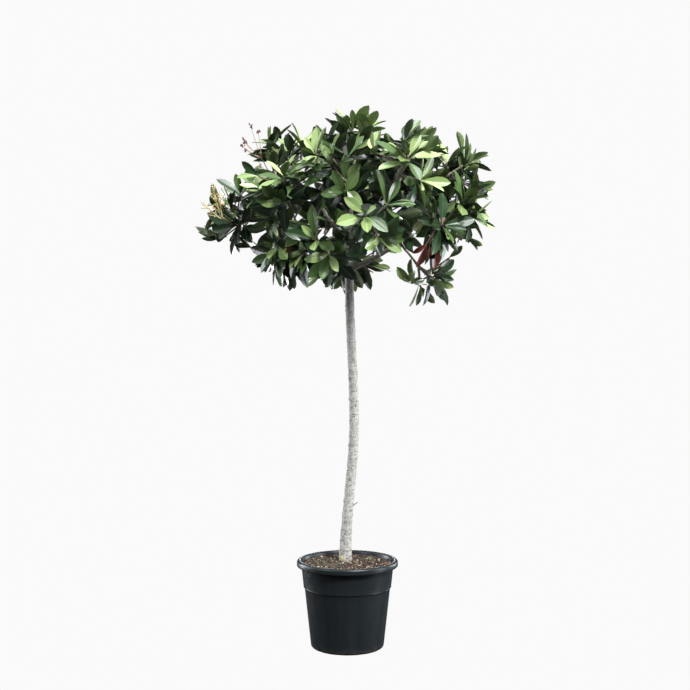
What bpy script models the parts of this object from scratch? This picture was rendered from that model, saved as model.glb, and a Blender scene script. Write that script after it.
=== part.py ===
"""A loquat trained as a standard: a bare bowed trunk under a wide crown, standing in a black nursery pot.

Metres, +Z up. The origin is the middle of the pot's flat underside, and the front of the tree faces -Y.
"""

import math
import random

import bmesh
import bpy
from mathutils import Vector
from mathutils.bvhtree import BVHTree

# The driving sizes, in metres
POT_HEIGHT = 0.342
POT_BASE_RADIUS = 0.139
POT_RIM_RADIUS = 0.200
POT_WALL = 0.003
SOIL_BELOW_RIM = 0.024
TRUNK_FOOT_RADIUS = 0.0245
TRUNK_NECK_RADIUS = 0.0175
TRUNK_BELLY_HEIGHT = 0.89
TRUNK_NECK_HEIGHT = 1.45
FORK_HEIGHT = 1.62
LEAF_LENGTH = 0.150

# The gap that keeps two touching solids apart
CLEAR = 0.0003

# Shading is smooth across edges that turn by less than these angles, in degrees
SMOOTH_TURNED = 30.0
SMOOTH_LIMB = 50.0

UP = Vector((0.0, 0.0, 1.0))


def paint(name, colour, roughness):
    """A material with one colour and one roughness."""
    material = bpy.data.materials.new(name)
    material.diffuse_color = (*colour, 1.0)
    material.use_nodes = True
    shader = material.node_tree.nodes["Principled BSDF"]
    shader.inputs["Base Color"].default_value = (*colour, 1.0)
    shader.inputs["Roughness"].default_value = roughness
    shader.inputs["Metallic"].default_value = 0.0
    return material


def add_object(name, mesh, material=None, smooth_under=None):
    """Links a mesh as an object, with its material and its smooth shading up to an angle in degrees."""
    made = bpy.data.objects.new(name, mesh)
    bpy.context.scene.collection.objects.link(made)
    if material:
        mesh.materials.append(material)
    if smooth_under:
        mesh.shade_smooth()
        mesh.set_sharp_from_angle(angle=math.radians(smooth_under))
    return made


def mesh_from(bm, name):
    """Turns a bmesh into a mesh whose faces point outwards."""
    bmesh.ops.recalc_face_normals(bm, faces=bm.faces)
    mesh = bpy.data.meshes.new(name)
    bm.to_mesh(mesh)
    bm.free()
    return mesh


def smoothstep(t):
    t = min(1.0, max(0.0, t))
    return t * t * (3.0 - 2.0 * t)


def mix(a, b, t):
    return a + (b - a) * t


# The pot: an injection-moulded shell with a rolled lip, a step below it and a rounded foot

POT_SIDES = 40
WALL_SLOPE = 0.111
FOOT_ROUND = 0.009
FOOT_SPREAD = 0.0045
FOOT_CORNER_INSET = 0.0015
FOOT_CORNER_SHARE = 0.4
STEP_HEIGHT = 0.227
STEP_DEPTH = 0.0025
STEP_RUN = 0.006
LIP_UNDERSIDE = 0.306
LIP_ROLL = 0.0102
LIP_EDGE_INSET = 0.004
LIP_EDGE_RISE = 0.001
LIP_SKIRT = 0.008
LIP_TURNS = (0.0, 35.0, 70.0, 110.0, 150.0)
WALL_HEIGHTS = (FOOT_ROUND, STEP_HEIGHT - STEP_RUN / 2.0, STEP_HEIGHT + STEP_RUN / 2.0, LIP_UNDERSIDE)
SPIN_MERGE = 0.00005


def wall_radius(z):
    """The pot's outer radius at a height, below the lip."""
    step = STEP_DEPTH * smoothstep((z - STEP_HEIGHT) / STEP_RUN + 0.5)
    return POT_BASE_RADIUS + FOOT_SPREAD + WALL_SLOPE * z + step


def pot_profile():
    """The shell's outline as (radius, height), from the underside's middle out, up, over and back in."""
    outline = [(0.0, 0.0), (POT_BASE_RADIUS, 0.0)]
    outline.append((wall_radius(FOOT_ROUND) - FOOT_CORNER_INSET, FOOT_ROUND * FOOT_CORNER_SHARE))
    for z in WALL_HEIGHTS:
        outline.append((wall_radius(z), z))
    lip_middle = POT_RIM_RADIUS - LIP_ROLL
    outline.append((POT_RIM_RADIUS - LIP_EDGE_INSET, LIP_UNDERSIDE + LIP_EDGE_RISE))
    outline.append((POT_RIM_RADIUS, LIP_UNDERSIDE + LIP_SKIRT))
    for turn in LIP_TURNS:
        angle = math.radians(turn)
        z = POT_HEIGHT - LIP_ROLL + LIP_ROLL * math.sin(angle)
        outline.append((lip_middle + LIP_ROLL * math.cos(angle), z))
    for z in reversed(WALL_HEIGHTS):
        outline.append((wall_radius(z) - POT_WALL, z))
    outline.append((POT_BASE_RADIUS - POT_WALL, POT_WALL))
    outline.append((0.0, POT_WALL))
    return outline


def turned(outline, sides, name):
    """Spins an outline that starts and ends on the Z axis into a closed solid."""
    bm = bmesh.new()
    points = [bm.verts.new((r, 0.0, z)) for r, z in outline]
    edges = [bm.edges.new(pair) for pair in zip(points, points[1:])]
    bmesh.ops.spin(
        bm,
        geom=points + edges,
        cent=(0.0, 0.0, 0.0),
        axis=(0.0, 0.0, 1.0),
        angle=math.tau,
        steps=sides,
        use_merge=True,
    )
    bmesh.ops.remove_doubles(bm, verts=bm.verts, dist=SPIN_MERGE)
    return mesh_from(bm, name)


# The compost that fills the pot, heaped a little round the trunk

SOIL_HEAP = 0.011
SOIL_LEVEL = POT_HEIGHT - SOIL_BELOW_RIM
SOIL_SLACK = 0.0006
SOIL_SHOULDER_RADIUS = 0.125
SOIL_SHOULDER_RISE = 0.003
SOIL_TOP_RADIUS = 0.075
TRUNK_FOOT = Vector((-0.008, 0.030, SOIL_LEVEL + SOIL_HEAP + CLEAR))


def soil_profile():
    """The fill's outline as (radius, height), a clear gap inside the shell all the way up."""
    gap = POT_WALL + CLEAR
    inset = gap + SOIL_SLACK
    outline = [(0.0, gap), (POT_BASE_RADIUS - inset, gap)]
    for z in WALL_HEIGHTS:
        outline.append((wall_radius(z) - inset, z))
    outline.append((wall_radius(LIP_UNDERSIDE) - inset, SOIL_LEVEL))
    outline.append((SOIL_SHOULDER_RADIUS, SOIL_LEVEL + SOIL_SHOULDER_RISE))
    outline.append((SOIL_TOP_RADIUS, SOIL_LEVEL + SOIL_HEAP))
    outline.append((0.0, SOIL_LEVEL + SOIL_HEAP))
    return outline


# Limbs: the trunk and the boughs are tubes that taper along a curved line

NEARLY_UPRIGHT = 0.9


def tube(line, radii, sides, name, level=False):
    """A closed tube round a line of points, with flat ends. A level one, as a trunk, has level rings."""
    bm = bmesh.new()
    start = line[1] - line[0]
    side = start.cross(UP if abs(start.normalized().z) < NEARLY_UPRIGHT else Vector((1.0, 0.0, 0.0)))
    rings = []
    for i, (centre, radius) in enumerate(zip(line, radii)):
        along = UP if level else (line[min(i + 1, len(line) - 1)] - line[max(i - 1, 0)]).normalized()
        side = (side - along * side.dot(along)).normalized()
        other = along.cross(side)
        ring = []
        for k in range(sides):
            angle = math.tau * k / sides
            offset = side * math.cos(angle) + other * math.sin(angle)
            ring.append(bm.verts.new(centre + offset * radius))
        rings.append(ring)
    for low, high in zip(rings, rings[1:]):
        for k in range(sides):
            bm.faces.new((low[k], low[(k + 1) % sides], high[(k + 1) % sides], high[k]))
    bm.faces.new(rings[0])
    bm.faces.new(rings[-1])
    return mesh_from(bm, name)


def bowed(start, end, lift, count):
    """A line of points from start to end that rises above the straight one by a share of its length."""
    middle = (start + end) / 2.0 + UP * lift * (end - start).length
    shares = [i / (count - 1) for i in range(count)]
    return [start * (1 - t) ** 2 + middle * 2 * t * (1 - t) + end * t * t for t in shares]


class Limb:
    """A tapering limb: its centre line and its radius at each point of it."""

    def __init__(self, line, first_radius, last_radius):
        self.line = line
        self.radii = [mix(first_radius, last_radius, i / (len(line) - 1)) for i in range(len(line))]

    def at(self, share):
        """The point and the radius a share of the way along."""
        place = share * (len(self.line) - 1)
        i = min(int(place), len(self.line) - 2)
        t = place - i
        return self.line[i].lerp(self.line[i + 1], t), mix(self.radii[i], self.radii[i + 1], t)

    def heading(self):
        """The direction in which it ends."""
        return (self.line[-1] - self.line[-2]).normalized()


# The trunk: bowed to the right in its lower half, back again at the neck, and on up into the crown

TRUNK_SIDES = 12
TRUNK_RINGS = 22
TRUNK_BOW = 0.035
TRUNK_RETURN = 0.019
TRUNK_FORWARD = 0.030
ROOT_FLARE = 0.0055
FLARE_HEIGHT = 0.085
HEAD_TAPER = 0.0040


def trunk_centre(z):
    """The middle of the trunk at a height."""
    low = smoothstep((z - TRUNK_FOOT.z) / (TRUNK_BELLY_HEIGHT - TRUNK_FOOT.z))
    high = smoothstep((z - TRUNK_BELLY_HEIGHT) / (TRUNK_NECK_HEIGHT - TRUNK_BELLY_HEIGHT))
    forward = TRUNK_FORWARD * smoothstep((z - TRUNK_FOOT.z) / (TRUNK_NECK_HEIGHT - TRUNK_FOOT.z))
    return Vector((TRUNK_FOOT.x + TRUNK_BOW * low - TRUNK_RETURN * high, TRUNK_FOOT.y - forward, z))


def trunk_radius(z):
    """Its radius at a height: a root flare at the foot, a long slow taper, and a quick one above the neck."""
    flare = ROOT_FLARE * math.exp(-(z - TRUNK_FOOT.z) / FLARE_HEIGHT)
    taper = min(1.0, (z - TRUNK_FOOT.z) / (TRUNK_NECK_HEIGHT - TRUNK_FOOT.z))
    head = smoothstep((z - TRUNK_NECK_HEIGHT) / (FORK_HEIGHT - TRUNK_NECK_HEIGHT))
    return flare + mix(TRUNK_FOOT_RADIUS - ROOT_FLARE / 2.0, TRUNK_NECK_RADIUS, taper) - HEAD_TAPER * head


def trunk_limb():
    heights = [mix(TRUNK_FOOT.z, FORK_HEIGHT, i / (TRUNK_RINGS - 1)) for i in range(TRUNK_RINGS)]
    limb = Limb([trunk_centre(z) for z in heights], 0.0, 0.0)
    limb.radii = [trunk_radius(z) for z in heights]
    return limb


# The crown: each mass of leaves, what its bough grows from and how far along that, the middle of the
# mass, and how far it reaches from there. A bough that grows from a mass's name leaves that mass's bough.

CROWN = (
    ("top", "trunk", 0.992, (0.030, 0.010, 1.960), (0.200, 0.220, 0.190)),
    ("left", "trunk", 0.930, (-0.405, -0.030, 1.705), (0.210, 0.220, 0.190)),
    ("right_low", "trunk", 0.900, (0.330, -0.110, 1.670), (0.200, 0.220, 0.200)),
    ("upper_right", "trunk", 0.968, (0.250, 0.030, 1.900), (0.200, 0.220, 0.200)),
    ("front", "trunk", 0.950, (0.090, -0.330, 1.660), (0.200, 0.220, 0.200)),
    ("back", "trunk", 0.940, (0.000, 0.340, 1.700), (0.210, 0.220, 0.210)),
    ("upper_left", "trunk", 0.980, (-0.210, 0.030, 1.900), (0.220, 0.220, 0.190)),
    ("low_left", "left", 0.260, (-0.240, -0.080, 1.570), (0.200, 0.220, 0.180)),
    ("left_middle", "left", 0.550, (-0.240, -0.230, 1.770), (0.210, 0.210, 0.190)),
    ("back_left", "left", 0.450, (-0.280, 0.260, 1.740), (0.210, 0.210, 0.200)),
    ("low_front", "front", 0.420, (-0.100, -0.260, 1.560), (0.200, 0.220, 0.170)),
    ("front_right", "front", 0.500, (0.210, -0.260, 1.850), (0.190, 0.210, 0.190)),
    ("front_top", "top", 0.600, (-0.030, -0.260, 1.830), (0.200, 0.210, 0.200)),
    ("back_top", "top", 0.550, (0.030, 0.260, 1.890), (0.210, 0.210, 0.190)),
    ("right_high", "upper_right", 0.750, (0.420, 0.050, 1.880), (0.180, 0.210, 0.190)),
    ("right", "upper_right", 0.550, (0.440, -0.030, 1.710), (0.170, 0.210, 0.180)),
    ("drooping", "right_low", 0.850, (0.295, -0.060, 1.475), (0.200, 0.190, 0.160)),
    ("back_right", "back", 0.500, (0.300, 0.270, 1.750), (0.200, 0.210, 0.200)),
    ("low_back", "trunk", 0.880, (0.010, 0.180, 1.550), (0.200, 0.190, 0.160)),
)
CROWN_HEART = Vector((0.0, 0.0, 1.62))
GROWTH_SEED = 3
BOUGH_RINGS = 5
BOUGH_SIDES = 6
BOUGH_THICKNESS = 0.66
BOUGH_TAPER = 0.60
BOUGH_ENTRY = 0.55
DEEPEST_ENTRY = 0.92
WALL_GAP = 0.0012
FACING_WALL = 0.01
BOUGH_LIFT = -0.10
THINNEST_BOUGH = 0.0045
THINNEST_ROOT = THINNEST_BOUGH * 1.25


def reach_along(direction, reach):
    """How far an ellipsoid with these half-axes reaches from its middle in a direction."""
    return 1.0 / math.sqrt(sum((direction[i] / reach[i]) ** 2 for i in range(3)))


class Space:
    """The room that one mass keeps to: its own reach, and flat walls part way to each of its neighbours."""

    def __init__(self, name):
        rows = {row[0]: (Vector(row[3]), row[4]) for row in CROWN}
        self.middle, self.reach = rows.pop(name)
        self.walls = []
        for other_middle, other_reach in rows.values():
            run = other_middle - self.middle
            away = run.normalized()
            own, theirs = reach_along(away, self.reach), reach_along(away, other_reach)
            self.walls.append((away, run.length * own / (own + theirs) - WALL_GAP))

    def room(self, direction):
        """How far the space goes from its middle in a direction."""
        facing = [(away.dot(direction), limit) for away, limit in self.walls]
        ahead = [limit / share for share, limit in facing if share > FACING_WALL]
        return min(ahead + [reach_along(direction, self.reach)])

    def holds(self, points):
        """Whether all the points lie inside it."""
        for point in points:
            from_middle = point - self.middle
            if from_middle.length > self.room(from_middle.normalized()):
                return False
        return True


def bough_limb(parent, share, space):
    """A bough from the middle of its parent to where it enters its mass of leaves."""
    start, width = parent.at(share)
    inwards = (start - space.middle).normalized()
    depth = min(reach_along(inwards, space.reach) * BOUGH_ENTRY, space.room(inwards) * DEEPEST_ENTRY)
    first = max(THINNEST_ROOT, width * BOUGH_THICKNESS)
    last = max(THINNEST_BOUGH, first * BOUGH_TAPER)
    return Limb(bowed(start, space.middle + inwards * depth, BOUGH_LIFT, BOUGH_RINGS), first, last)


def bough_object(name, limb, parent, material):
    """A bough's solid, its root shaped to the limb it grows from, a clear gap away."""
    made = add_object(name, tube(limb.line, limb.radii, BOUGH_SIDES, name), material, SMOOTH_LIMB)
    swollen = [radius + CLEAR for radius in parent.radii]
    cutter = add_object(name + "_seat", tube(parent.line, swollen, TRUNK_SIDES, name + "_seat"))
    cutter.display_type = "WIRE"
    cutter.hide_render = True
    seat = made.modifiers.new("Seat", "BOOLEAN")
    seat.operation = "DIFFERENCE"
    seat.solver = "EXACT"
    seat.object = cutter
    return made


# A mass of leaves: one stem, twigs that fan out from it, and a rosette of leaves round the end of each twig

STEM_SIDES = 5
STEM_STRAIGHT = 0.020
HEART_SHARE = 0.70
TWIGS = 3
TWIG_CHOICES = 7
TWIG_SIDES = 3
TWIG_RADIUS = 0.0058
TWIG_TAPER = 0.85
TWIG_SHARE = (0.26, 0.48)
TWIG_LIFT = -0.08
TWIG_RISE = 0.25
LEAVES_ROUND_A_TWIG = 7
LEAF_TRIES = 34
LEAF_SHARES = (1.0, 0.88, 0.76)
LEAF_WIDTH = 0.42
LEAF_THICKNESS = 0.024
LEAF_SHOULDER = 0.62
LEAF_THICKEST = 0.33
LEAF_CURL = 0.05
LEAF_BARE_STALK = 0.16
LEAF_ROOT_SUNK = 0.0025
LEAF_OPENING = (28.0, 100.0)
LEAF_SPREAD = 10.0
ROSETTE_TOP = 0.003
ROSETTE_LENGTH = 0.022
GOLDEN_TURN = math.pi * (3.0 - math.sqrt(5.0))
LIMB_GAP = 0.0025
DROOP = 0.75
YOUNG_DROOP = 0.3
SHORTEST_UP = 0.2
HANGING_BELOW = 1.45
STANDING_ABOVE = 2.00


def skin_tree(meshes):
    """A search tree over the faces of some meshes."""
    points, faces = [], []
    for mesh in meshes:
        first = len(points)
        points += [vert.co.copy() for vert in mesh.vertices]
        faces += [[first + k for k in face.vertices] for face in mesh.polygons]
    return BVHTree.FromPolygons(points, faces)


LEAF_FACES = [(k, (k + 1) % 4, 4) for k in range(4)] + [((k + 1) % 4, k, 5) for k in range(4)]


def leaf_corners(root, along, up, length):
    """A leaf's six corners: its root, its two shoulders, its tip, and its midrib above and below."""
    side = along.cross(up)
    half_width, thickness = length * LEAF_WIDTH / 2.0, length * LEAF_THICKNESS
    shoulder = root + along * length * LEAF_SHOULDER + up * length * LEAF_CURL
    midrib = root + along * length * LEAF_THICKEST
    return (
        root,
        shoulder - side * half_width,
        root + along * length - up * length * LEAF_CURL,
        shoulder + side * half_width,
        midrib + up * thickness / 2.0,
        midrib - up * thickness / 2.0,
    )


def leaf_mesh(corners, name):
    """A closed leaf of eight faces: a wedge at the root, widest past the middle, folded along its midrib."""
    bm = bmesh.new()
    points = [bm.verts.new(corner) for corner in corners]
    for face in LEAF_FACES:
        bm.faces.new([points[k] for k in face])
    return mesh_from(bm, name)


def fan_directions(count, phase):
    """Directions spread evenly over a ball by the golden turn, from its top down."""
    for k in range(count):
        height = 1.0 - 2.0 * (k + 0.5) / count
        level = math.sqrt(1.0 - height * height)
        angle = phase + GOLDEN_TURN * k
        yield Vector((level * math.cos(angle), level * math.sin(angle), height))


def leaf_place(tip, axis, turn, age, droop, chance):
    """Where a leaf of a rosette grows: its root, its direction and its upper side. The youngest stand up."""
    across = axis.orthogonal().normalized()
    outwards = across * math.cos(turn) + axis.cross(across) * math.sin(turn)
    opening = math.radians(mix(*LEAF_OPENING, age) + chance.uniform(-LEAF_SPREAD, LEAF_SPREAD))
    along = axis * math.cos(opening) + outwards * math.sin(opening)
    along = (along - UP * droop * mix(YOUNG_DROOP, 1.0, age)).normalized()
    up = axis - along * axis.dot(along)
    if up.length < SHORTEST_UP:
        up = UP - along * UP.dot(along)
    root = tip - axis * (ROSETTE_TOP + ROSETTE_LENGTH * age) - along * LEAF_ROOT_SUNK
    return root, along, up.normalized()


def rosette(tip, axis, droop, space, limb_tree, others, chance):
    """The corners of the leaves round a twig's end, each of which keeps to the space and touches nothing."""
    grown = []
    turn = chance.uniform(0.0, math.tau)
    for attempt in range(LEAF_TRIES):
        turn += GOLDEN_TURN
        root, along, up = leaf_place(tip, axis, turn, chance.random(), droop, chance)
        for share in LEAF_SHARES:
            length = LEAF_LENGTH * share
            corners = leaf_corners(root, along, up, length)
            blade = BVHTree.FromPolygons([root + along * length * LEAF_BARE_STALK, *corners[1:]], LEAF_FACES)
            if not space.holds(corners[1:]) or blade.overlap(limb_tree):
                continue
            if any(blade.overlap(other) for other in others):
                continue
            others.append(blade)
            grown.append(corners)
            break
        if len(grown) == LEAVES_ROUND_A_TWIG:
            break
    return grown


# The dried flower heads on the crown's left: for each, where its stalk leaves the leaves and where it ends

PANICLES = {
    "left": (Vector((-0.485, -0.060, 1.690)), Vector((-0.560, -0.070, 1.805))),
    "upper_left": (Vector((-0.320, -0.020, 1.950)), Vector((-0.395, -0.030, 2.015))),
}
STALK_RADIUS = 0.0039
SPIKE_RADIUS = 0.0028
SPIKE_TAPER = 0.8
SPIKES = 6
SPIKE_LENGTHS = (0.0495, 0.0270)


def panicle(heart, neck, tip, name):
    """A flower head: its stalk from the heart of the mass, and short side spikes up its last stretch."""
    stalk = tube([heart, neck, tip], [TWIG_RADIUS, STALK_RADIUS, SPIKE_RADIUS], TWIG_SIDES, name)
    spikes = [stalk]
    axis = (tip - neck).normalized()
    across = axis.orthogonal().normalized()
    for k in range(SPIKES):
        turn = GOLDEN_TURN * k
        outwards = across * math.cos(turn) + axis.cross(across) * math.sin(turn)
        share = (k + 0.5) / SPIKES
        foot = neck.lerp(tip, share)
        end = foot + (outwards + axis).normalized() * mix(*SPIKE_LENGTHS, share)
        spikes.append(tube([foot, end], [SPIKE_RADIUS, SPIKE_RADIUS * SPIKE_TAPER], TWIG_SIDES, name))
    return spikes


def fuse(name, meshes, material):
    """Joins overlapping closed meshes into one solid by a single Boolean union."""
    body = add_object(name, meshes[0], material)
    joined = bpy.data.collections.new(name + "_pieces")
    bpy.context.scene.collection.children.link(joined)
    for i, mesh in enumerate(meshes[1:]):
        joined.objects.link(bpy.data.objects.new(f"{name}_piece_{i}", mesh))
    union = body.modifiers.new("Union", "BOOLEAN")
    union.operation = "UNION"
    union.operand_type = "COLLECTION"
    union.collection = joined
    union.solver = "EXACT"
    bpy.context.view_layer.objects.active = body
    bpy.ops.object.modifier_apply(modifier=union.name)
    for piece in list(joined.objects):
        bpy.data.objects.remove(piece)
    bpy.data.collections.remove(joined)
    keep_outer_skin(body.data)
    return body


def keep_outer_skin(mesh):
    """Drops loose scraps and the skins of sealed hollows, which leaves the largest closed skin."""
    bm = bmesh.new()
    bm.from_mesh(mesh)
    skins = []
    waiting = set(bm.verts)
    while waiting:
        front = [waiting.pop()]
        skin = set(front)
        while front:
            for edge in front.pop().link_edges:
                for vert in edge.verts:
                    if vert in waiting:
                        waiting.discard(vert)
                        skin.add(vert)
                        front.append(vert)
        skins.append(skin)
    kept = max(skins, key=len)
    bmesh.ops.delete(bm, geom=[vert for vert in bm.verts if vert not in kept], context="VERTS")
    bm.to_mesh(mesh)
    bm.free()


def leafy_mass(name, bough, space, limb_tree, material):
    """One mass of leaves on its bough's end: a stem to its heart, twigs from there, and their rosettes."""
    chance = random.Random(f"{name} {GROWTH_SEED}")
    heading, tip_radius = bough.heading(), bough.radii[-1]
    start = bough.line[-1] + heading * CLEAR
    heart = start.lerp(space.middle, HEART_SHARE)
    line = [start, start + heading * STEM_STRAIGHT, heart]
    meshes = [tube(line, [tip_radius, tip_radius, TWIG_RADIUS], STEM_SIDES, name)]
    outwards = space.middle - CROWN_HEART
    fan = sorted(fan_directions(TWIG_CHOICES, chance.uniform(0.0, math.tau)), key=outwards.dot)
    shoots = []
    for direction in fan[-TWIGS:]:
        end = space.middle + direction * space.room(direction) * chance.uniform(*TWIG_SHARE)
        line = bowed(heart, end, TWIG_LIFT, 3)
        twig = tube(line, [TWIG_RADIUS, TWIG_RADIUS, TWIG_RADIUS * TWIG_TAPER], TWIG_SIDES, name)
        if space.holds(line[1:]) and not skin_tree([twig]).overlap(limb_tree):
            meshes.append(twig)
            shoots.append((end, ((line[-1] - line[-2]).normalized() + UP * TWIG_RISE).normalized()))
    others = []
    if name in PANICLES:
        spikes = panicle(heart, *PANICLES[name], name)
        meshes += spikes
        others.append(skin_tree(spikes[1:]))
    droop = DROOP * (1.0 - smoothstep((space.middle.z - HANGING_BELOW) / (STANDING_ABOVE - HANGING_BELOW)))
    for end, axis in shoots:
        leaves = rosette(end, axis, droop, space, limb_tree, others, chance)
        meshes += [leaf_mesh(corners, name) for corners in leaves]
    return fuse("leaves_" + name, meshes, material)


def main():
    for old in list(bpy.data.objects):
        bpy.data.objects.remove(old)
    plastic = paint("black_plastic", (0.016, 0.019, 0.021), 0.38)
    compost = paint("bark_compost", (0.080, 0.048, 0.030), 0.95)
    bark = paint("grey_bark", (0.500, 0.470, 0.420), 0.85)
    leaf = paint("glossy_leaf", (0.030, 0.075, 0.028), 0.35)

    add_object("pot", turned(pot_profile(), POT_SIDES, "pot"), plastic, SMOOTH_TURNED)
    add_object("soil", turned(soil_profile(), POT_SIDES, "soil"), compost, SMOOTH_TURNED)
    limbs = {"trunk": trunk_limb()}
    trunk = tube(limbs["trunk"].line, limbs["trunk"].radii, TRUNK_SIDES, "trunk", level=True)
    add_object("trunk", trunk, bark, SMOOTH_LIMB)
    for name, parent, share, _, _ in CROWN:
        limbs[name] = bough_limb(limbs[parent], share, Space(name))
        bough_object("bough_" + name, limbs[name], limbs[parent], bark)
    swollen = []
    for name, limb in limbs.items():
        swollen.append(tube(limb.line, [radius + LIMB_GAP for radius in limb.radii], TRUNK_SIDES, name))
    limb_tree = skin_tree(swollen)
    for name, *_ in CROWN:
        leafy_mass(name, limbs[name], Space(name), limb_tree, leaf)


main()
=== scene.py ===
"""The finish of a potted standard loquat: pot, compost, bark, twigs, leaves and dried flower heads."""

import math
import random

import bpy
import numpy as np
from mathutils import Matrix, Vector, noise
from mathutils.bvhtree import BVHTree


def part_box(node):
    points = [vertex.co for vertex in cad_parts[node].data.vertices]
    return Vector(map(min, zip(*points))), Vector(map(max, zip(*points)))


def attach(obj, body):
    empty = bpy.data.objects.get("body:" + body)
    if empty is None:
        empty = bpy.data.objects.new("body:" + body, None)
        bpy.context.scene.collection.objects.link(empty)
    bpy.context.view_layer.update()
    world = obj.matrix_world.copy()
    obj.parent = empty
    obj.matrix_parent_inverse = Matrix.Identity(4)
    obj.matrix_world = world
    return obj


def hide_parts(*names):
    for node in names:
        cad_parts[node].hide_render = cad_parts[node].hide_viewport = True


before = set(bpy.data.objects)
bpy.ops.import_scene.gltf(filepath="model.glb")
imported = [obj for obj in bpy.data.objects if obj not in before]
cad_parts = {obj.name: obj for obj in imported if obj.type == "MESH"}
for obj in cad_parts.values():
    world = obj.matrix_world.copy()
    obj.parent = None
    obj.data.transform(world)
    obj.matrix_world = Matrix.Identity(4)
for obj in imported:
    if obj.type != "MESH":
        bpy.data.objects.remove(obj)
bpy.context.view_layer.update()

# The studio: a level camera at half the tree's height, and a pale floor and backdrop that glow evenly but throw
# no light on the tree. It is lit from a pale ceiling, by a soft light high at the front right, and by panels
# round it that give the leaves and the pot their long reflections and the pot's lip its bright line.

CAMERA_PLACE = (-0.0095, -4.2, 1.19)
CAMERA_LENS = 55.3
FLOOR_SIZE = 60.0
BACKDROP_RADIUS = 26.0
BACKDROP_HEIGHT = 40.0
BACKDROP_SIDES = 64
STUDIO_WHITE = 0.956
WALL_GLOW = 0.09
CEILING_GLOW = 1.05
WALL_TOP = (0.35, 0.75)
SUN_FROM = Vector((1.5, -2.4, 3.0))
SUN_SPREAD = 15.0
SUN_POWER = 6.8
PANELS = (
    ("left_panel", (-3.2, -2.6, 3.0), 1.8, 1.8, 95.0),
    ("top_panel", (0.3, -1.2, 4.0), 1.6, 1.6, 60.0),
    ("left_strip", (-2.8, 1.6, 1.0), 0.9, 2.4, 120.0),
    ("left_side_strip", (-2.9, 0.5, 1.0), 2.0, 2.4, 35.0),
    ("right_strip", (3.0, -0.6, 1.0), 1.2, 2.6, 100.0),
    ("right_back_strip", (2.4, 1.7, 0.8), 1.0, 1.6, 55.0),
    ("low_back_strip", (0.0, 3.5, 1.1), 0.6, 0.5, 10.0),
)  # name, place, width, height, power in watts
PANEL_AIM = Vector((0.0, 0.0, 1.0))
PANEL_TINT = (0.93, 0.97, 1.0)

camera_data = bpy.data.cameras.new("camera")
camera_data.lens = CAMERA_LENS
camera = bpy.data.objects.new("camera", camera_data)
camera.location = CAMERA_PLACE
camera.rotation_euler = (math.pi / 2.0, 0.0, 0.0)
bpy.context.scene.collection.objects.link(camera)
bpy.context.scene.camera = camera
bpy.context.scene.view_settings.view_transform = "Standard"

sun_data = bpy.data.lights.new("sun", "SUN")
sun_data.energy = SUN_POWER
sun_data.angle = math.radians(SUN_SPREAD)
sun = bpy.data.objects.new("sun", sun_data)
sun.rotation_euler = (-SUN_FROM).to_track_quat("-Z", "Y").to_euler()
bpy.context.scene.collection.objects.link(sun)
for panel_name, place, width, height, power in PANELS:
    panel_data = bpy.data.lights.new(panel_name, "AREA")
    panel_data.shape = "RECTANGLE"
    panel_data.size = width
    panel_data.size_y = height
    panel_data.energy = power
    panel_data.color = PANEL_TINT
    panel = bpy.data.objects.new(panel_name, panel_data)
    panel.location = place
    panel.rotation_euler = (PANEL_AIM - panel.location).to_track_quat("-Z", "Y").to_euler()
    panel.visible_camera = False
    bpy.context.scene.collection.objects.link(panel)

world = bpy.data.worlds.new("studio")
world.use_nodes = True
nodes = world.node_tree.nodes
direction = nodes.new("ShaderNodeTexCoord")
rise = nodes.new("ShaderNodeSeparateXYZ")
glow = nodes.new("ShaderNodeMapRange")
glow.interpolation_type = "SMOOTHSTEP"
glow.inputs["From Min"].default_value = WALL_TOP[0]
glow.inputs["From Max"].default_value = WALL_TOP[1]
glow.inputs["To Min"].default_value = WALL_GLOW
glow.inputs["To Max"].default_value = CEILING_GLOW
nodes["Background"].inputs["Color"].default_value = (0.985, 0.99, 1.0, 1.0)
world.node_tree.links.new(direction.outputs["Generated"], rise.inputs["Vector"])
world.node_tree.links.new(rise.outputs["Z"], glow.inputs["Value"])
world.node_tree.links.new(glow.outputs["Result"], nodes["Background"].inputs["Strength"])
bpy.context.scene.world = world


def deselect():
    """Leaves nothing selected, so that the next operator acts on its own piece alone."""
    for other in bpy.context.selected_objects:
        other.select_set(False)


def only(piece):
    """Selects one piece alone and makes it the active one."""
    deselect()
    piece.select_set(True)
    bpy.context.view_layer.objects.active = piece


def finish_colour(name, colour, roughness, grain=0.0, depth=0.0):
    """A material of one base colour, with a fine relief of so many grains a metre and so deep, if it has one."""
    material = bpy.data.materials.new(name)
    material.use_nodes = True
    tree = material.node_tree
    shader = tree.nodes["Principled BSDF"]
    shader.inputs["Base Color"].default_value = (*colour, 1.0)
    shader.inputs["Roughness"].default_value = roughness
    if grain:
        coords = tree.nodes.new("ShaderNodeTexCoord")
        grains = tree.nodes.new("ShaderNodeTexNoise")
        grains.inputs["Scale"].default_value = grain
        grains.inputs["Detail"].default_value = 4.0
        bump = tree.nodes.new("ShaderNodeBump")
        bump.inputs["Strength"].default_value = 0.35
        bump.inputs["Distance"].default_value = depth
        tree.links.new(coords.outputs["Object"], grains.inputs["Vector"])
        tree.links.new(grains.outputs["Fac"], bump.inputs["Height"])
        tree.links.new(bump.outputs["Normal"], shader.inputs["Normal"])
    return material, tree, shader


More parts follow.
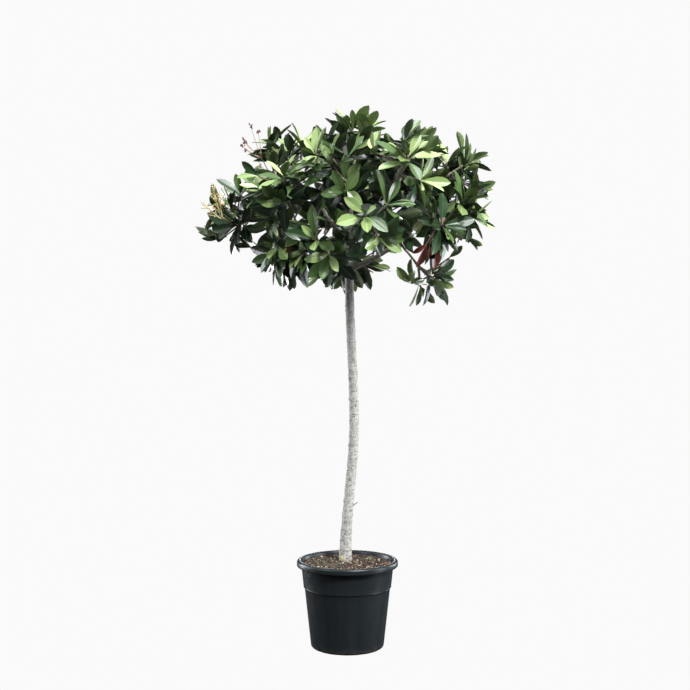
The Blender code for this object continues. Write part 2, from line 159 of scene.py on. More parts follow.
studio_paint, _, shader = finish_colour("studio_paint", (0.0, 0.0, 0.0), 1.0)
shader.inputs["Specular IOR Level"].default_value = 0.0
shader.inputs["Emission Color"].default_value = (1.0, 1.0, 1.0, 1.0)
shader.inputs["Emission Strength"].default_value = STUDIO_WHITE
deselect()
bpy.ops.mesh.primitive_plane_add(size=FLOOR_SIZE, location=(0.0, 0.0, 0.0))
floor = bpy.context.object
floor.name = "floor"
deselect()
bpy.ops.mesh.primitive_cylinder_add(
    vertices=BACKDROP_SIDES, radius=BACKDROP_RADIUS, depth=BACKDROP_HEIGHT, end_fill_type="NOTHING"
)
backdrop = bpy.context.object
backdrop.name = "backdrop"
for surround in (floor, backdrop):
    surround.data.materials.append(studio_paint)
    surround.visible_diffuse = False
    surround.visible_glossy = False
    surround.visible_shadow = False


# The pot: one injection moulding of black polypropylene with a rolled lip, a step under it and drain notches
# at the edge of its foot. It is satin, a little streaked down the wall, and dusty round the foot.

POT_SIDES = 144
POT_WALL = 0.003
WALL_SLOPE = 0.111
FOOT_RADIUS = 0.139
FOOT_SPREAD = 0.0045
FOOT_ROUND = 0.009
STEP_HEIGHT = 0.235
STEP_DEPTH = 0.0035
STEP_RUN = 0.003
STEP_BEAD = 0.0014
BEAD_HALF_HEIGHT = 0.0014
LIP_UNDERSIDE = 0.3135
LIP_EDGE = 0.3205
LIP_ROLL = 0.0102
LIP_CORNER = 0.003
ARC_STEPS = 7
NOTCHES = 10
NOTCH_SIZE = (0.010, 0.026, 0.012)
NOTCH_INSET = 0.004
pot_low, pot_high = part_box("pot")
RIM_RADIUS = pot_high.x
POT_TOP = pot_high.z


def smoothstep(t):
    t = min(1.0, max(0.0, t))
    return t * t * (3.0 - 2.0 * t)


def mix(a, b, t):
    return a + (b - a) * t


def wall_radius(z):
    """The pot's outer radius at a height, below the lip."""
    step = STEP_DEPTH * smoothstep((z - STEP_HEIGHT) / STEP_RUN + 0.5)
    bead = STEP_BEAD * math.exp(-(((z - STEP_HEIGHT) / BEAD_HALF_HEIGHT) ** 2))
    return FOOT_RADIUS + FOOT_SPREAD + WALL_SLOPE * z + step + bead


def arc(middle, radius, first, last, steps):
    """Points round an arc, as (radius, height), between two angles in degrees."""
    for i in range(steps + 1):
        angle = math.radians(mix(first, last, i / steps))
        yield middle[0] + radius * math.cos(angle), middle[1] + radius * math.sin(angle)


def raised(name, rings, sides, facing=Vector((0.0, 0.0, 1.0))):
    """A closed piece raised from a disc that faces one way, ring by ring. A ring is its middle and radius."""
    deselect()
    centre, radius = rings[0]
    turned = facing.to_track_quat("Z", "Y").to_euler()
    bpy.ops.mesh.primitive_circle_add(
        vertices=sides, radius=radius, fill_type="NGON", location=centre, rotation=turned
    )
    bpy.ops.object.transform_apply(location=True, rotation=True, scale=True)
    piece = bpy.context.object
    piece.name = name
    bpy.ops.object.mode_set(mode="EDIT")
    bpy.ops.mesh.select_all(action="SELECT")
    for next_centre, next_radius in rings[1:]:
        bpy.ops.mesh.extrude_region_move(TRANSFORM_OT_translate={"value": next_centre - centre})
        ratio = next_radius / radius
        bpy.ops.transform.resize(value=(ratio, ratio, ratio), center_override=next_centre)
        centre, radius = next_centre, next_radius
    bpy.ops.mesh.select_all(action="SELECT")
    bpy.ops.mesh.normals_make_consistent(inside=False)
    bpy.ops.object.mode_set(mode="OBJECT")
    return piece


def smooth(piece, degrees):
    """Shades a piece smooth, apart from edges sharper than so many degrees."""
    only(piece)
    bpy.ops.object.shade_smooth_by_angle(angle=math.radians(degrees))


def apply_modifier(piece, modifier):
    only(piece)
    bpy.ops.object.modifier_apply(modifier=modifier.name)


pot_outline = [(FOOT_RADIUS, 0.0)]
pot_outline += arc((wall_radius(FOOT_ROUND) - FOOT_ROUND, FOOT_ROUND), FOOT_ROUND, -65.0, 0.0, ARC_STEPS)
pot_outline += [(wall_radius(z), z) for z in (0.03, 0.08, 0.14, 0.20)]
step_heights = [STEP_HEIGHT + STEP_RUN * (i - 4) / 4.0 for i in range(9)]
pot_outline += [(wall_radius(z), z) for z in (*step_heights, 0.27, LIP_UNDERSIDE)]
pot_outline += arc((RIM_RADIUS - LIP_CORNER, LIP_EDGE), LIP_CORNER, -60.0, 0.0, ARC_STEPS // 2)
pot_outline += arc((RIM_RADIUS - LIP_ROLL, POT_TOP - LIP_ROLL), LIP_ROLL, 0.0, 150.0, ARC_STEPS * 2)
pot_outline += [(wall_radius(z) - POT_WALL, z) for z in (LIP_UNDERSIDE, 0.20, FOOT_ROUND)]
pot_outline += [(FOOT_RADIUS - POT_WALL, POT_WALL)]
pot = raised("nursery_pot", [(Vector((0.0, 0.0, z)), r) for r, z in pot_outline], POT_SIDES)

for k in range(NOTCHES):
    turn = math.tau * (k + 0.65) / NOTCHES - math.pi / 2.0
    deselect()
    bpy.ops.mesh.primitive_cube_add(size=1.0, location=(0.0, 0.0, 0.0))
    cutter = bpy.context.object
    cutter.scale = NOTCH_SIZE
    cutter.rotation_euler = (0.0, 0.0, turn)
    out = FOOT_RADIUS + NOTCH_INSET
    cutter.location = (out * math.cos(turn), out * math.sin(turn), 0.0)
    notch = pot.modifiers.new("Notch", "BOOLEAN")
    notch.operation = "DIFFERENCE"
    notch.solver = "EXACT"
    notch.object = cutter
    apply_modifier(pot, notch)
    bpy.data.objects.remove(cutter)


def node_with(tree, kind, **values):
    """A shader node with some of its inputs set. An underscore in a word stands for a space."""
    node = tree.nodes.new(kind)
    for word, value in values.items():
        node.inputs[word.replace("_", " ")].default_value = value
    return node


def layer_over(tree, colour):
    """A node that lays one colour over what comes in at A, by its Factor."""
    layer = tree.nodes.new("ShaderNodeMix")
    layer.data_type = "RGBA"
    layer.inputs["B"].default_value = (*colour, 1.0)
    return layer


pot_plastic, tree, shader = finish_colour("black_polypropylene", (0.0040, 0.0052, 0.0062), 0.30)
shader.inputs["Specular IOR Level"].default_value = 0.24
coords = tree.nodes.new("ShaderNodeTexCoord")
streaks_map = node_with(tree, "ShaderNodeMapping", Scale=(26.0, 26.0, 2.2))
streaks = node_with(tree, "ShaderNodeTexNoise", Scale=1.0, Detail=6.0)
scuffs = node_with(tree, "ShaderNodeTexNoise", Scale=34.0, Detail=8.0)
height = tree.nodes.new("ShaderNodeSeparateXYZ")
dust_fade = node_with(tree, "ShaderNodeMapRange", From_Min=0.060, From_Max=0.0)
dust_share = tree.nodes.new("ShaderNodeMath")
dust_share.operation = "MULTIPLY"
dust_cut = node_with(tree, "ShaderNodeMapRange", From_Min=0.26, From_Max=0.60, To_Max=0.45)
tint = layer_over(tree, (0.0115, 0.0150, 0.0178))
tint.inputs["A"].default_value = (0.0040, 0.0052, 0.0061, 1.0)
dusty = layer_over(tree, (0.040, 0.032, 0.024))
gloss = node_with(tree, "ShaderNodeMapRange", To_Min=0.25, To_Max=0.42)
grain = node_with(tree, "ShaderNodeBump", Strength=0.12, Distance=0.0006)
links = tree.links
links.new(coords.outputs["Object"], streaks_map.inputs["Vector"])
links.new(streaks_map.outputs["Vector"], streaks.inputs["Vector"])
links.new(coords.outputs["Object"], scuffs.inputs["Vector"])
links.new(coords.outputs["Object"], height.inputs["Vector"])
links.new(height.outputs["Z"], dust_fade.inputs["Value"])
links.new(dust_fade.outputs["Result"], dust_share.inputs[0])
links.new(scuffs.outputs["Fac"], dust_share.inputs[1])
links.new(dust_share.outputs["Value"], dust_cut.inputs["Value"])
links.new(streaks.outputs["Fac"], tint.inputs["Factor"])
links.new(tint.outputs["Result"], dusty.inputs["A"])
links.new(dust_cut.outputs["Result"], dusty.inputs["Factor"])
links.new(dusty.outputs["Result"], shader.inputs["Base Color"])
links.new(scuffs.outputs["Fac"], gloss.inputs["Value"])
links.new(gloss.outputs["Result"], shader.inputs["Roughness"])
links.new(scuffs.outputs["Fac"], grain.inputs["Height"])
links.new(grain.outputs["Normal"], shader.inputs["Normal"])
pot.data.materials.append(pot_plastic)
smooth(pot, 35.0)
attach(pot, "root")
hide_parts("pot")


# The compost: composted bark, heaped a little round the trunk, with loose flakes, crumbs and straws on top and
# a little moss on the left. The bed is one closed fill, and the loose bits are pressed into it.

SOIL_BELOW_RIM = 0.0175
SOIL_HEAP = 0.0045
SOIL_LEVEL = POT_TOP - SOIL_BELOW_RIM
BED_GAP = 0.0010
BED_RADIUS = wall_radius(LIP_UNDERSIDE) - POT_WALL - BED_GAP
BED_RINGS = 34
BED_SIDES = 120
BED_ROUGH = 0.0035
CHIPS = 2700
CHIP_LENGTH = (0.004, 0.015)
CHIP_PRESSED = 0.05
TRUNK_CLEARANCE = 0.031
CHIP_TINTS = (
    ("bark_dark", (0.007, 0.004, 0.003), 52),
    ("bark_brown", (0.038, 0.021, 0.013), 22),
    ("bark_pink", (0.140, 0.076, 0.054), 10),
    ("bark_tan", (0.190, 0.120, 0.068), 6),
    ("straw", (0.340, 0.290, 0.200), 3),
    ("moss", (0.040, 0.044, 0.020), 7),
)  # name, colour, how many of a hundred
SPROUT_PLACE = (0.086, 0.030)
SPROUT_BLADES = 11
SPROUT_LENGTH = 0.017
SPROUT_LEAN = (-1.35, -0.55)
compost_chance = random.Random(11)


def bed_height(x, y):
    """The compost's height at a place: level by the wall, a flat heap round the trunk, and rough all over."""
    heap = SOIL_HEAP * (1.0 - smoothstep((math.hypot(x, y) - 0.060) / 0.080))
    rough = noise.fractal(Vector((x, y, 0.0)) * 70.0, 0.9, 2.0, 4)
    return SOIL_LEVEL + heap + BED_ROUGH * rough


bed_outline = [(wall_radius(FOOT_ROUND) - POT_WALL - BED_GAP, FOOT_ROUND), (BED_RADIUS, SOIL_LEVEL - 0.006)]
bed_outline += [(BED_RADIUS * (1.0 - i / BED_RINGS), SOIL_LEVEL) for i in range(BED_RINGS)]
bed = raised("compost_bed", [(Vector((0.0, 0.0, z)), r) for r, z in bed_outline], BED_SIDES)
for vert in bed.data.vertices:
    if vert.co.z > SOIL_LEVEL - 0.001:
        vert.co.z = bed_height(vert.co.x, vert.co.y)

bed_paint, tree, shader = finish_colour("composted_bark", (0.025, 0.015, 0.010), 0.95)
coords = tree.nodes.new("ShaderNodeTexCoord")
crumbs = node_with(tree, "ShaderNodeTexVoronoi", Scale=190.0)
bed_tint = layer_over(tree, (0.070, 0.040, 0.024))
bed_tint.inputs["A"].default_value = (0.010, 0.006, 0.004, 1.0)
bed_bump = node_with(tree, "ShaderNodeBump", Strength=0.8, Distance=0.002)
tree.links.new(coords.outputs["Object"], crumbs.inputs["Vector"])
tree.links.new(crumbs.outputs["Distance"], bed_tint.inputs["Factor"])
tree.links.new(bed_tint.outputs["Result"], shader.inputs["Base Color"])
tree.links.new(crumbs.outputs["Distance"], bed_bump.inputs["Height"])
tree.links.new(bed_bump.outputs["Normal"], shader.inputs["Normal"])
bed.data.materials.append(bed_paint)
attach(bed, "root")
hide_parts("soil")


def read_shape(piece):
    """A finished piece's points and faces. The piece itself is then removed."""
    points = np.array([vert.co[:] for vert in piece.data.vertices])
    faces = [tuple(face.vertices) for face in piece.data.polygons]
    bpy.data.objects.remove(piece)
    return points, faces


def join_copies(name, copies, materials):
    """One mesh of many placed shapes. Each is its points, its faces and a material's number for each face."""
    points, faces, slots, first = [], [], [], 0
    for shape_points, shape_faces, shape_slots in copies:
        points.append(shape_points)
        faces += [tuple(first + k for k in face) for face in shape_faces]
        slots += shape_slots
        first += len(shape_points)
    mesh = bpy.data.meshes.new(name)
    mesh.from_pydata(np.concatenate(points).tolist(), [], faces)
    for material in materials:
        mesh.materials.append(material)
    mesh.polygons.foreach_set("material_index", slots)
    mesh.update()
    piece = bpy.data.objects.new(name, mesh)
    bpy.context.scene.collection.objects.link(piece)
    return piece


def flake(length, width, thickness):
    """A splinter of bark: a flat block that narrows to one end and to one side."""
    deselect()
    bpy.ops.mesh.primitive_cube_add(size=1.0, location=(0.0, 0.0, 0.0))
    piece = bpy.context.object
    for vert in piece.data.vertices:
        vert.co.x *= length * (1.0 if vert.co.y > 0.0 else 0.72)
        vert.co.y *= width * (1.0 if vert.co.x > 0.0 else 0.60)
        vert.co.z *= thickness
    return read_shape(piece)


def crumb(size, lumps):
    """A crumb or bud: a ball pushed in and out by a share of its size."""
    deselect()
    bpy.ops.mesh.primitive_ico_sphere_add(subdivisions=1, radius=size / 2.0, location=(0.0, 0.0, 0.0))
    piece = bpy.context.object
    for vert in piece.data.vertices:
        vert.co *= 1.0 + lumps * noise.noise(vert.co * 4.0 / size)
    return read_shape(piece)


def turned_by(heading, tilt, roll):
    """A roll about X, then a tilt about Y, then a turn about Z, as one 3x3 array."""
    ch, sh, ct, st = math.cos(heading), math.sin(heading), math.cos(tilt), math.sin(tilt)
    cr, sr = math.cos(roll), math.sin(roll)
    about_z = np.array(((ch, -sh, 0.0), (sh, ch, 0.0), (0.0, 0.0, 1.0)))
    about_y = np.array(((ct, 0.0, st), (0.0, 1.0, 0.0), (-st, 0.0, ct)))
    about_x = np.array(((1.0, 0.0, 0.0), (0.0, cr, -sr), (0.0, sr, cr)))
    return about_z @ about_y @ about_x


TRUNK_FOOT = Vector((-0.008, 0.030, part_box("trunk")[0].z))
chip_shapes = [flake(1.0, 0.45, 0.16), flake(1.0, 0.30, 0.22), crumb(0.7, 0.6), flake(1.6, 0.10, 0.10)]
chip_paints = [finish_colour(name, colour, 0.9, 500.0, 0.0006)[0] for name, colour, _ in CHIP_TINTS]
chip_bag = [i for i, (_, _, count) in enumerate(CHIP_TINTS) for _ in range(count)]
moss = len(CHIP_TINTS) - 1
chips = []
while len(chips) < CHIPS:
    out = (BED_RADIUS - 0.006) * math.sqrt(compost_chance.random())
    turn = compost_chance.uniform(0.0, math.tau)
    x, y = out * math.cos(turn), out * math.sin(turn)
    tint_number = compost_chance.choice(chip_bag)
    shape_number = compost_chance.choice((0, 0, 1, 1, 2, 2, 3))
    size = compost_chance.uniform(*CHIP_LENGTH)
    if tint_number == moss:
        shape_number = 2
        x = -abs(x)
    if math.hypot(x - TRUNK_FOOT.x, y - TRUNK_FOOT.y) < TRUNK_CLEARANCE:
        continue
    shape_points, shape_faces = chip_shapes[shape_number]
    heading = compost_chance.uniform(0.0, math.tau)
    turned = turned_by(heading, compost_chance.gauss(0.0, 0.28), compost_chance.gauss(0.0, 0.4))
    placed = shape_points @ turned.T * size + np.array((x, y, bed_height(x, y) + size * CHIP_PRESSED))
    chips.append((placed, shape_faces, [tint_number] * len(shape_faces)))
for k in range(SPROUT_BLADES):
    heading = math.tau * k / SPROUT_BLADES
    lean = mix(*SPROUT_LEAN, compost_chance.random())
    shape_points, shape_faces = flake(1.0, 0.24, 0.06)
    stood = (shape_points + np.array((0.5, 0.0, 0.0))) @ turned_by(heading, lean, 0.0).T * SPROUT_LENGTH
    foot = np.array((*SPROUT_PLACE, bed_height(*SPROUT_PLACE)))
    chips.append((stood + foot, shape_faces, [len(CHIP_TINTS)] * len(shape_faces)))
chip_paints.append(finish_colour("sprout_green", (0.130, 0.165, 0.080), 0.6, 400.0, 0.0004)[0])
loose_bark = join_copies("loose_bark", chips, chip_paints)
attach(loose_bark, "root")


# The trunk: one upright stem with a slow S bend, its bark pale grey and speckled, with leaf scars, knobs where
# side shoots were taken off, and a small flare at the foot.

TRUNK_FOOT_RADIUS = 0.0245
TRUNK_NECK_RADIUS = 0.0175
TRUNK_BELLY_HEIGHT = 0.89
TRUNK_NECK_HEIGHT = 1.45
FORK_HEIGHT = 1.62
TRUNK_BOW = 0.035
TRUNK_RETURN = 0.019
TRUNK_FORWARD = 0.030
ROOT_FLARE = 0.0055
FLARE_HEIGHT = 0.085
HEAD_TAPER = 0.0040
TRUNK_SIDES = 16
TRUNK_RINGS = 120
TRUNK_SMOOTHING = 2
SUNK_IN_BED = 0.006
FOOT_LUMP = (0.340, -2.15, 0.0050, 0.026)
FOOT_NET_TOP = 0.500
SCARS = (
    (0.350, -0.90, 0.0030, 0.018, 0.2),
    (0.440, 0.20, 0.0020, 0.012, 0.5),
    (0.444, -1.80, 0.0010, 0.009, 0.6),
    (0.447, 3.10, 0.0012, 0.016, 0.6),
    (0.490, -1.75, 0.0012, 0.012, 0.6),
    (0.520, 3.00, 0.0022, 0.013, 0.6),
    (0.556, -0.25, 0.0026, 0.009, 0.7),
    (0.568, 2.90, 0.0015, 0.012, 0.9),
    (0.660, -1.90, 0.0014, 0.012, 0.6),
    (0.745, 0.10, 0.0022, 0.011, 0.3),
    (0.790, 3.10, 0.0024, 0.012, 0.5),
    (0.893, -0.30, 0.0020, 0.010, 0.4),
    (0.952, -1.20, 0.0016, 0.010, 0.9),
    (0.975, 3.05, 0.0024, 0.011, 0.2),
    (1.010, -1.75, 0.0012, 0.009, 0.7),
    (1.058, -2.35, 0.0018, 0.017, 0.8),
    (1.132, -1.30, 0.0010, 0.008, 0.7),
    (1.205, 0.25, 0.0014, 0.010, 0.3),
    (1.205, 3.10, 0.0016, 0.011, 0.4),
    (1.330, -2.90, 0.0022, 0.010, 0.5),
    (1.345, 3.00, 0.0018, 0.011, 0.5),
    (1.405, -1.10, 0.0010, 0.010, 0.6),
)  # height, angle round the trunk, how far it stands out, how wide it is, how dark it is
BARK_ROUGH = 0.0010
SCAR_RIDGE = 0.0007
UP = Vector((0.0, 0.0, 1.0))


def trunk_centre(z):
    """The middle of the trunk at a height."""
    low = smoothstep((z - TRUNK_FOOT.z) / (TRUNK_BELLY_HEIGHT - TRUNK_FOOT.z))
    high = smoothstep((z - TRUNK_BELLY_HEIGHT) / (TRUNK_NECK_HEIGHT - TRUNK_BELLY_HEIGHT))
    forward = TRUNK_FORWARD * smoothstep((z - TRUNK_FOOT.z) / (TRUNK_NECK_HEIGHT - TRUNK_FOOT.z))
    return Vector((TRUNK_FOOT.x + TRUNK_BOW * low - TRUNK_RETURN * high, TRUNK_FOOT.y - forward, z))


def trunk_radius(z):
    """Its radius at a height: a root flare, a long slow taper, and a quick one above the neck."""
    flare = ROOT_FLARE * math.exp(-(z - TRUNK_FOOT.z) / FLARE_HEIGHT)
    taper = min(1.0, (z - TRUNK_FOOT.z) / (TRUNK_NECK_HEIGHT - TRUNK_FOOT.z))
    head = smoothstep((z - TRUNK_NECK_HEIGHT) / (FORK_HEIGHT - TRUNK_NECK_HEIGHT))
    return flare + mix(TRUNK_FOOT_RADIUS - ROOT_FLARE / 2.0, TRUNK_NECK_RADIUS, taper) - HEAD_TAPER * head


def bark_relief(place):
    """How far the bark stands out at a place: low ridges, and closer rings across the limb."""
    ridges = noise.fractal(Vector((place.x * 95.0, place.y * 95.0, place.z * 38.0)), 0.8, 2.0, 4)
    rings = noise.noise(Vector((place.x * 12.0, place.y * 12.0, place.z * 150.0)))
    return BARK_ROUGH * ridges + SCAR_RIDGE * rings


trunk_sunk = TRUNK_FOOT.z - SUNK_IN_BED
trunk_heights = [mix(trunk_sunk, FORK_HEIGHT, i / (TRUNK_RINGS - 1)) for i in range(TRUNK_RINGS)]
trunk = raised("trunk_bark", [(trunk_centre(z), trunk_radius(z)) for z in trunk_heights], TRUNK_SIDES)
smoothing = trunk.modifiers.new("Smoothing", "SUBSURF")
smoothing.levels = TRUNK_SMOOTHING
smoothing.render_levels = TRUNK_SMOOTHING
apply_modifier(trunk, smoothing)
trunk.data.attributes.new("scar", "FLOAT", "POINT")
trunk.data.attributes.new("lump", "FLOAT", "POINT")


def swelling(vert, height, turn, wide):
    """How much of a swelling at some height and angle on the trunk a point of it has, from 0 to 1."""
    out = vert.co - trunk_centre(vert.co.z)
    across = math.remainder(math.atan2(out.y, out.x) - turn, math.tau) * math.hypot(out.x, out.y)
    return math.exp(-((vert.co.z - height) ** 2 + across**2) / (wide * 0.5) ** 2)


for i, vert in enumerate(trunk.data.vertices):
    out = vert.co - trunk_centre(vert.co.z)
    out.z = 0.0
    if out.length < trunk_radius(vert.co.z) * 0.5:
        continue
    lump_height, lump_turn, lump_tall, lump_wide = FOOT_LUMP
    lump = swelling(vert, lump_height, lump_turn, lump_wide)
    stand, mark = bark_relief(vert.co) + lump_tall * lump, 0.0
    for scar_height, turn, tall, wide, dark in SCARS:
        swell = swelling(vert, scar_height, turn, wide)
        stand += tall * swell
        mark = max(mark, dark * swell)
    vert.co += out.normalized() * stand
    trunk.data.attributes["scar"].data[i].value = mark
    trunk.data.attributes["lump"].data[i].value = lump


def bark_finish(name, pale, dark, brown_from):
    """Speckled bark: pale grey, with dark flecks, patches, rings and scars, and brown above some height."""
    material, tree, shader = finish_colour(name, pale, 0.86)
    coords = tree.nodes.new("ShaderNodeTexCoord")
    height = tree.nodes.new("ShaderNodeSeparateXYZ")
    scar = tree.nodes.new("ShaderNodeAttribute")
    scar.attribute_name = "scar"
    lump = tree.nodes.new("ShaderNodeAttribute")
    lump.attribute_name = "lump"
    net = node_with(tree, "ShaderNodeTexNoise", Scale=115.0, Detail=2.0)
    net_cut = node_with(tree, "ShaderNodeMapRange", From_Min=0.47, From_Max=0.58)
    net_fade = node_with(
        tree, "ShaderNodeMapRange", From_Min=FOOT_NET_TOP, From_Max=TRUNK_FOOT.z + 0.030, To_Max=0.85
    )
    net_share = tree.nodes.new("ShaderNodeMath")
    net_share.operation = "MULTIPLY"
    banded = node_with(tree, "ShaderNodeMapping", Scale=(9.0, 9.0, 75.0))
    patches = node_with(tree, "ShaderNodeTexNoise", Scale=42.0, Detail=4.0)
    patch_cut = node_with(tree, "ShaderNodeMapRange", From_Min=0.50, From_Max=0.66, To_Max=0.55)
    rings = node_with(tree, "ShaderNodeTexNoise", Scale=1.0, Detail=2.0)
    ring_cut = node_with(tree, "ShaderNodeMapRange", From_Min=0.58, From_Max=0.72, To_Max=0.50)
    specks = node_with(tree, "ShaderNodeTexNoise", Scale=170.0, Detail=3.0)
    speck_cut = node_with(tree, "ShaderNodeMapRange", From_Min=0.545, From_Max=0.620, To_Max=0.78)
    yellowing = node_with(tree, "ShaderNodeMapRange", From_Min=0.10, From_Max=0.75, To_Max=0.80)
    browning = node_with(
        tree, "ShaderNodeMapRange", From_Min=brown_from, From_Max=brown_from + 0.09, To_Max=0.75
    )
    grain = node_with(tree, "ShaderNodeBump", Strength=0.5, Distance=0.0012)
    layers = (
        (layer_over(tree, (0.200, 0.186, 0.162)), patch_cut.outputs["Result"]),
        (layer_over(tree, (0.125, 0.112, 0.092)), ring_cut.outputs["Result"]),
        (layer_over(tree, (0.115, 0.104, 0.086)), net_share.outputs["Value"]),
        (layer_over(tree, (0.225, 0.205, 0.095)), yellowing.outputs["Result"]),
        (layer_over(tree, (0.060, 0.045, 0.032)), browning.outputs["Result"]),
        (layer_over(tree, dark), speck_cut.outputs["Result"]),
        (layer_over(tree, (0.055, 0.042, 0.032)), scar.outputs["Fac"]),
    )
    links = tree.links
    links.new(coords.outputs["Object"], height.inputs["Vector"])
    links.new(coords.outputs["Object"], banded.inputs["Vector"])
    links.new(banded.outputs["Vector"], rings.inputs["Vector"])
    for texture, cut in ((patches, patch_cut), (rings, ring_cut), (specks, speck_cut), (net, net_cut)):
        if texture is not rings:
            links.new(coords.outputs["Object"], texture.inputs["Vector"])
        links.new(texture.outputs["Fac"], cut.inputs["Value"])
    for fade in (net_fade, browning):
        links.new(height.outputs["Z"], fade.inputs["Value"])
    links.new(lump.outputs["Fac"], yellowing.inputs["Value"])
    links.new(net_fade.outputs["Result"], net_share.inputs[0])
    links.new(net_cut.outputs["Result"], net_share.inputs[1])
    layers[0][0].inputs["A"].default_value = (*pale, 1.0)
    for (under, _), (over, _) in zip(layers, layers[1:]):
        links.new(under.outputs["Result"], over.inputs["A"])
    for layer, share in layers:
        links.new(share, layer.inputs["Factor"])
    links.new(layers[-1][0].outputs["Result"], shader.inputs["Base Color"])
    links.new(specks.outputs["Fac"], grain.inputs["Height"])
    links.new(grain.outputs["Normal"], shader.inputs["Normal"])
    return material


trunk.data.materials.append(bark_finish("pale_bark", (0.305, 0.300, 0.287), (0.080, 0.072, 0.063), 1.43))
smooth(trunk, 60.0)
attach(trunk, "root")
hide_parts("trunk")


# The boughs: nineteen limbs that leave the trunk or one another under the leaves, round and tapering, of the
# same bark, its colours painted darker as painted shade under the crown. Each is rooted in what it grows from,
# with a low collar there, and runs on into its spray of leaves.

CROWN = (
    ("top", "trunk", 0.992, (0.030, 0.010, 1.960), (0.200, 0.220, 0.190)),
    ("left", "trunk", 0.930, (-0.405, -0.030, 1.705), (0.210, 0.220, 0.190)),
    ("right_low", "trunk", 0.900, (0.330, -0.110, 1.670), (0.200, 0.220, 0.200)),
    ("upper_right", "trunk", 0.968, (0.250, 0.030, 1.900), (0.200, 0.220, 0.200)),
    ("front", "trunk", 0.950, (0.090, -0.330, 1.660), (0.200, 0.220, 0.200)),
    ("back", "trunk", 0.940, (0.000, 0.340, 1.700), (0.210, 0.220, 0.210)),
    ("upper_left", "trunk", 0.980, (-0.210, 0.030, 1.900), (0.220, 0.220, 0.190)),
    ("low_left", "left", 0.260, (-0.240, -0.080, 1.570), (0.200, 0.220, 0.180)),
    ("left_middle", "left", 0.550, (-0.240, -0.230, 1.770), (0.210, 0.210, 0.190)),
    ("back_left", "left", 0.450, (-0.280, 0.260, 1.740), (0.210, 0.210, 0.200)),
    ("low_front", "front", 0.420, (-0.100, -0.260, 1.560), (0.200, 0.220, 0.170)),
    ("front_right", "front", 0.500, (0.210, -0.260, 1.850), (0.190, 0.210, 0.190)),
    ("front_top", "top", 0.600, (-0.030, -0.260, 1.830), (0.200, 0.210, 0.200)),
    ("back_top", "top", 0.550, (0.030, 0.260, 1.890), (0.210, 0.210, 0.190)),
    ("right_high", "upper_right", 0.750, (0.420, 0.050, 1.880), (0.180, 0.210, 0.190)),
    ("right", "upper_right", 0.550, (0.440, -0.030, 1.710), (0.170, 0.210, 0.180)),
    ("drooping", "right_low", 0.850, (0.295, -0.060, 1.475), (0.200, 0.190, 0.160)),
    ("back_right", "back", 0.500, (0.300, 0.270, 1.750), (0.200, 0.210, 0.200)),
    ("low_back", "trunk", 0.880, (0.010, 0.180, 1.550), (0.200, 0.190, 0.160)),
)  # name, grows from, share along it, middle, reach
SOLID_RINGS = 22
BOUGH_RINGS = 5
BOUGH_THICKNESS = 0.66
BOUGH_TAPER = 0.60
BOUGH_ENTRY = 0.55
DEEPEST_ENTRY = 0.92
BOUGH_LIFT = -0.10
THINNEST_BOUGH = 0.0045
THINNEST_ROOT = THINNEST_BOUGH * 1.25
WALL_GAP = 0.0012
FACING_WALL = 0.01
BOUGH_SIDES = 18
BOUGH_STEPS = 44
COLLAR = 0.35
COLLAR_LENGTH = 0.08
BOUGH_ROUGHNESS = 0.7


def reach_along(direction, reach):
    """How far an ellipsoid with these half-axes reaches from its middle in a direction."""
    return 1.0 / math.sqrt(sum((direction[i] / reach[i]) ** 2 for i in range(3)))


class Space:
    """The room of one spray: its own reach, and the flat walls part way to each of its neighbours."""

    def __init__(self, name):
        rows = {row[0]: (Vector(row[3]), row[4]) for row in CROWN}
        self.middle, self.reach = rows.pop(name)
        self.walls = []
        for other_middle, other_reach in rows.values():
            run = other_middle - self.middle
            away = run.normalized()
            own, theirs = reach_along(away, self.reach), reach_along(away, other_reach)
            self.walls.append((away, run.length * own / (own + theirs) - WALL_GAP))

    def room(self, direction):
        """How far the space goes from its middle in a direction."""
        facing = [(away.dot(direction), limit) for away, limit in self.walls]
        ahead = [limit / share for share, limit in facing if share > FACING_WALL]
        return min(ahead + [reach_along(direction, self.reach)])

    def within_reach(self, points):
        """Whether all the points lie within its reach, where sprays may mingle across their walls."""
        for point in points:
            from_middle = point - self.middle
            if from_middle.length > reach_along(from_middle.normalized(), self.reach):
                return False
        return True


def bowed(start, end, lift, count):
    """A line of points from start to end that rises above the straight one by a share of its length."""
    middle = (start + end) / 2.0 + UP * lift * (end - start).length
    shares = [i / (count - 1) for i in range(count)]
    return [start * (1 - t) ** 2 + middle * 2 * t * (1 - t) + end * t * t for t in shares]


class Limb:
    """A tapering limb: its centre line and its radius at each point of it."""

    def __init__(self, line, radii):
        self.line = line
        self.radii = radii

    def at(self, share):
        """The point and the radius a share of the way along."""
        place = share * (len(self.line) - 1)
        i = min(int(place), len(self.line) - 2)
        t = place - i
        return self.line[i].lerp(self.line[i + 1], t), mix(self.radii[i], self.radii[i + 1], t)

    def heading(self):
        """The direction in which it ends."""
        return (self.line[-1] - self.line[-2]).normalized()


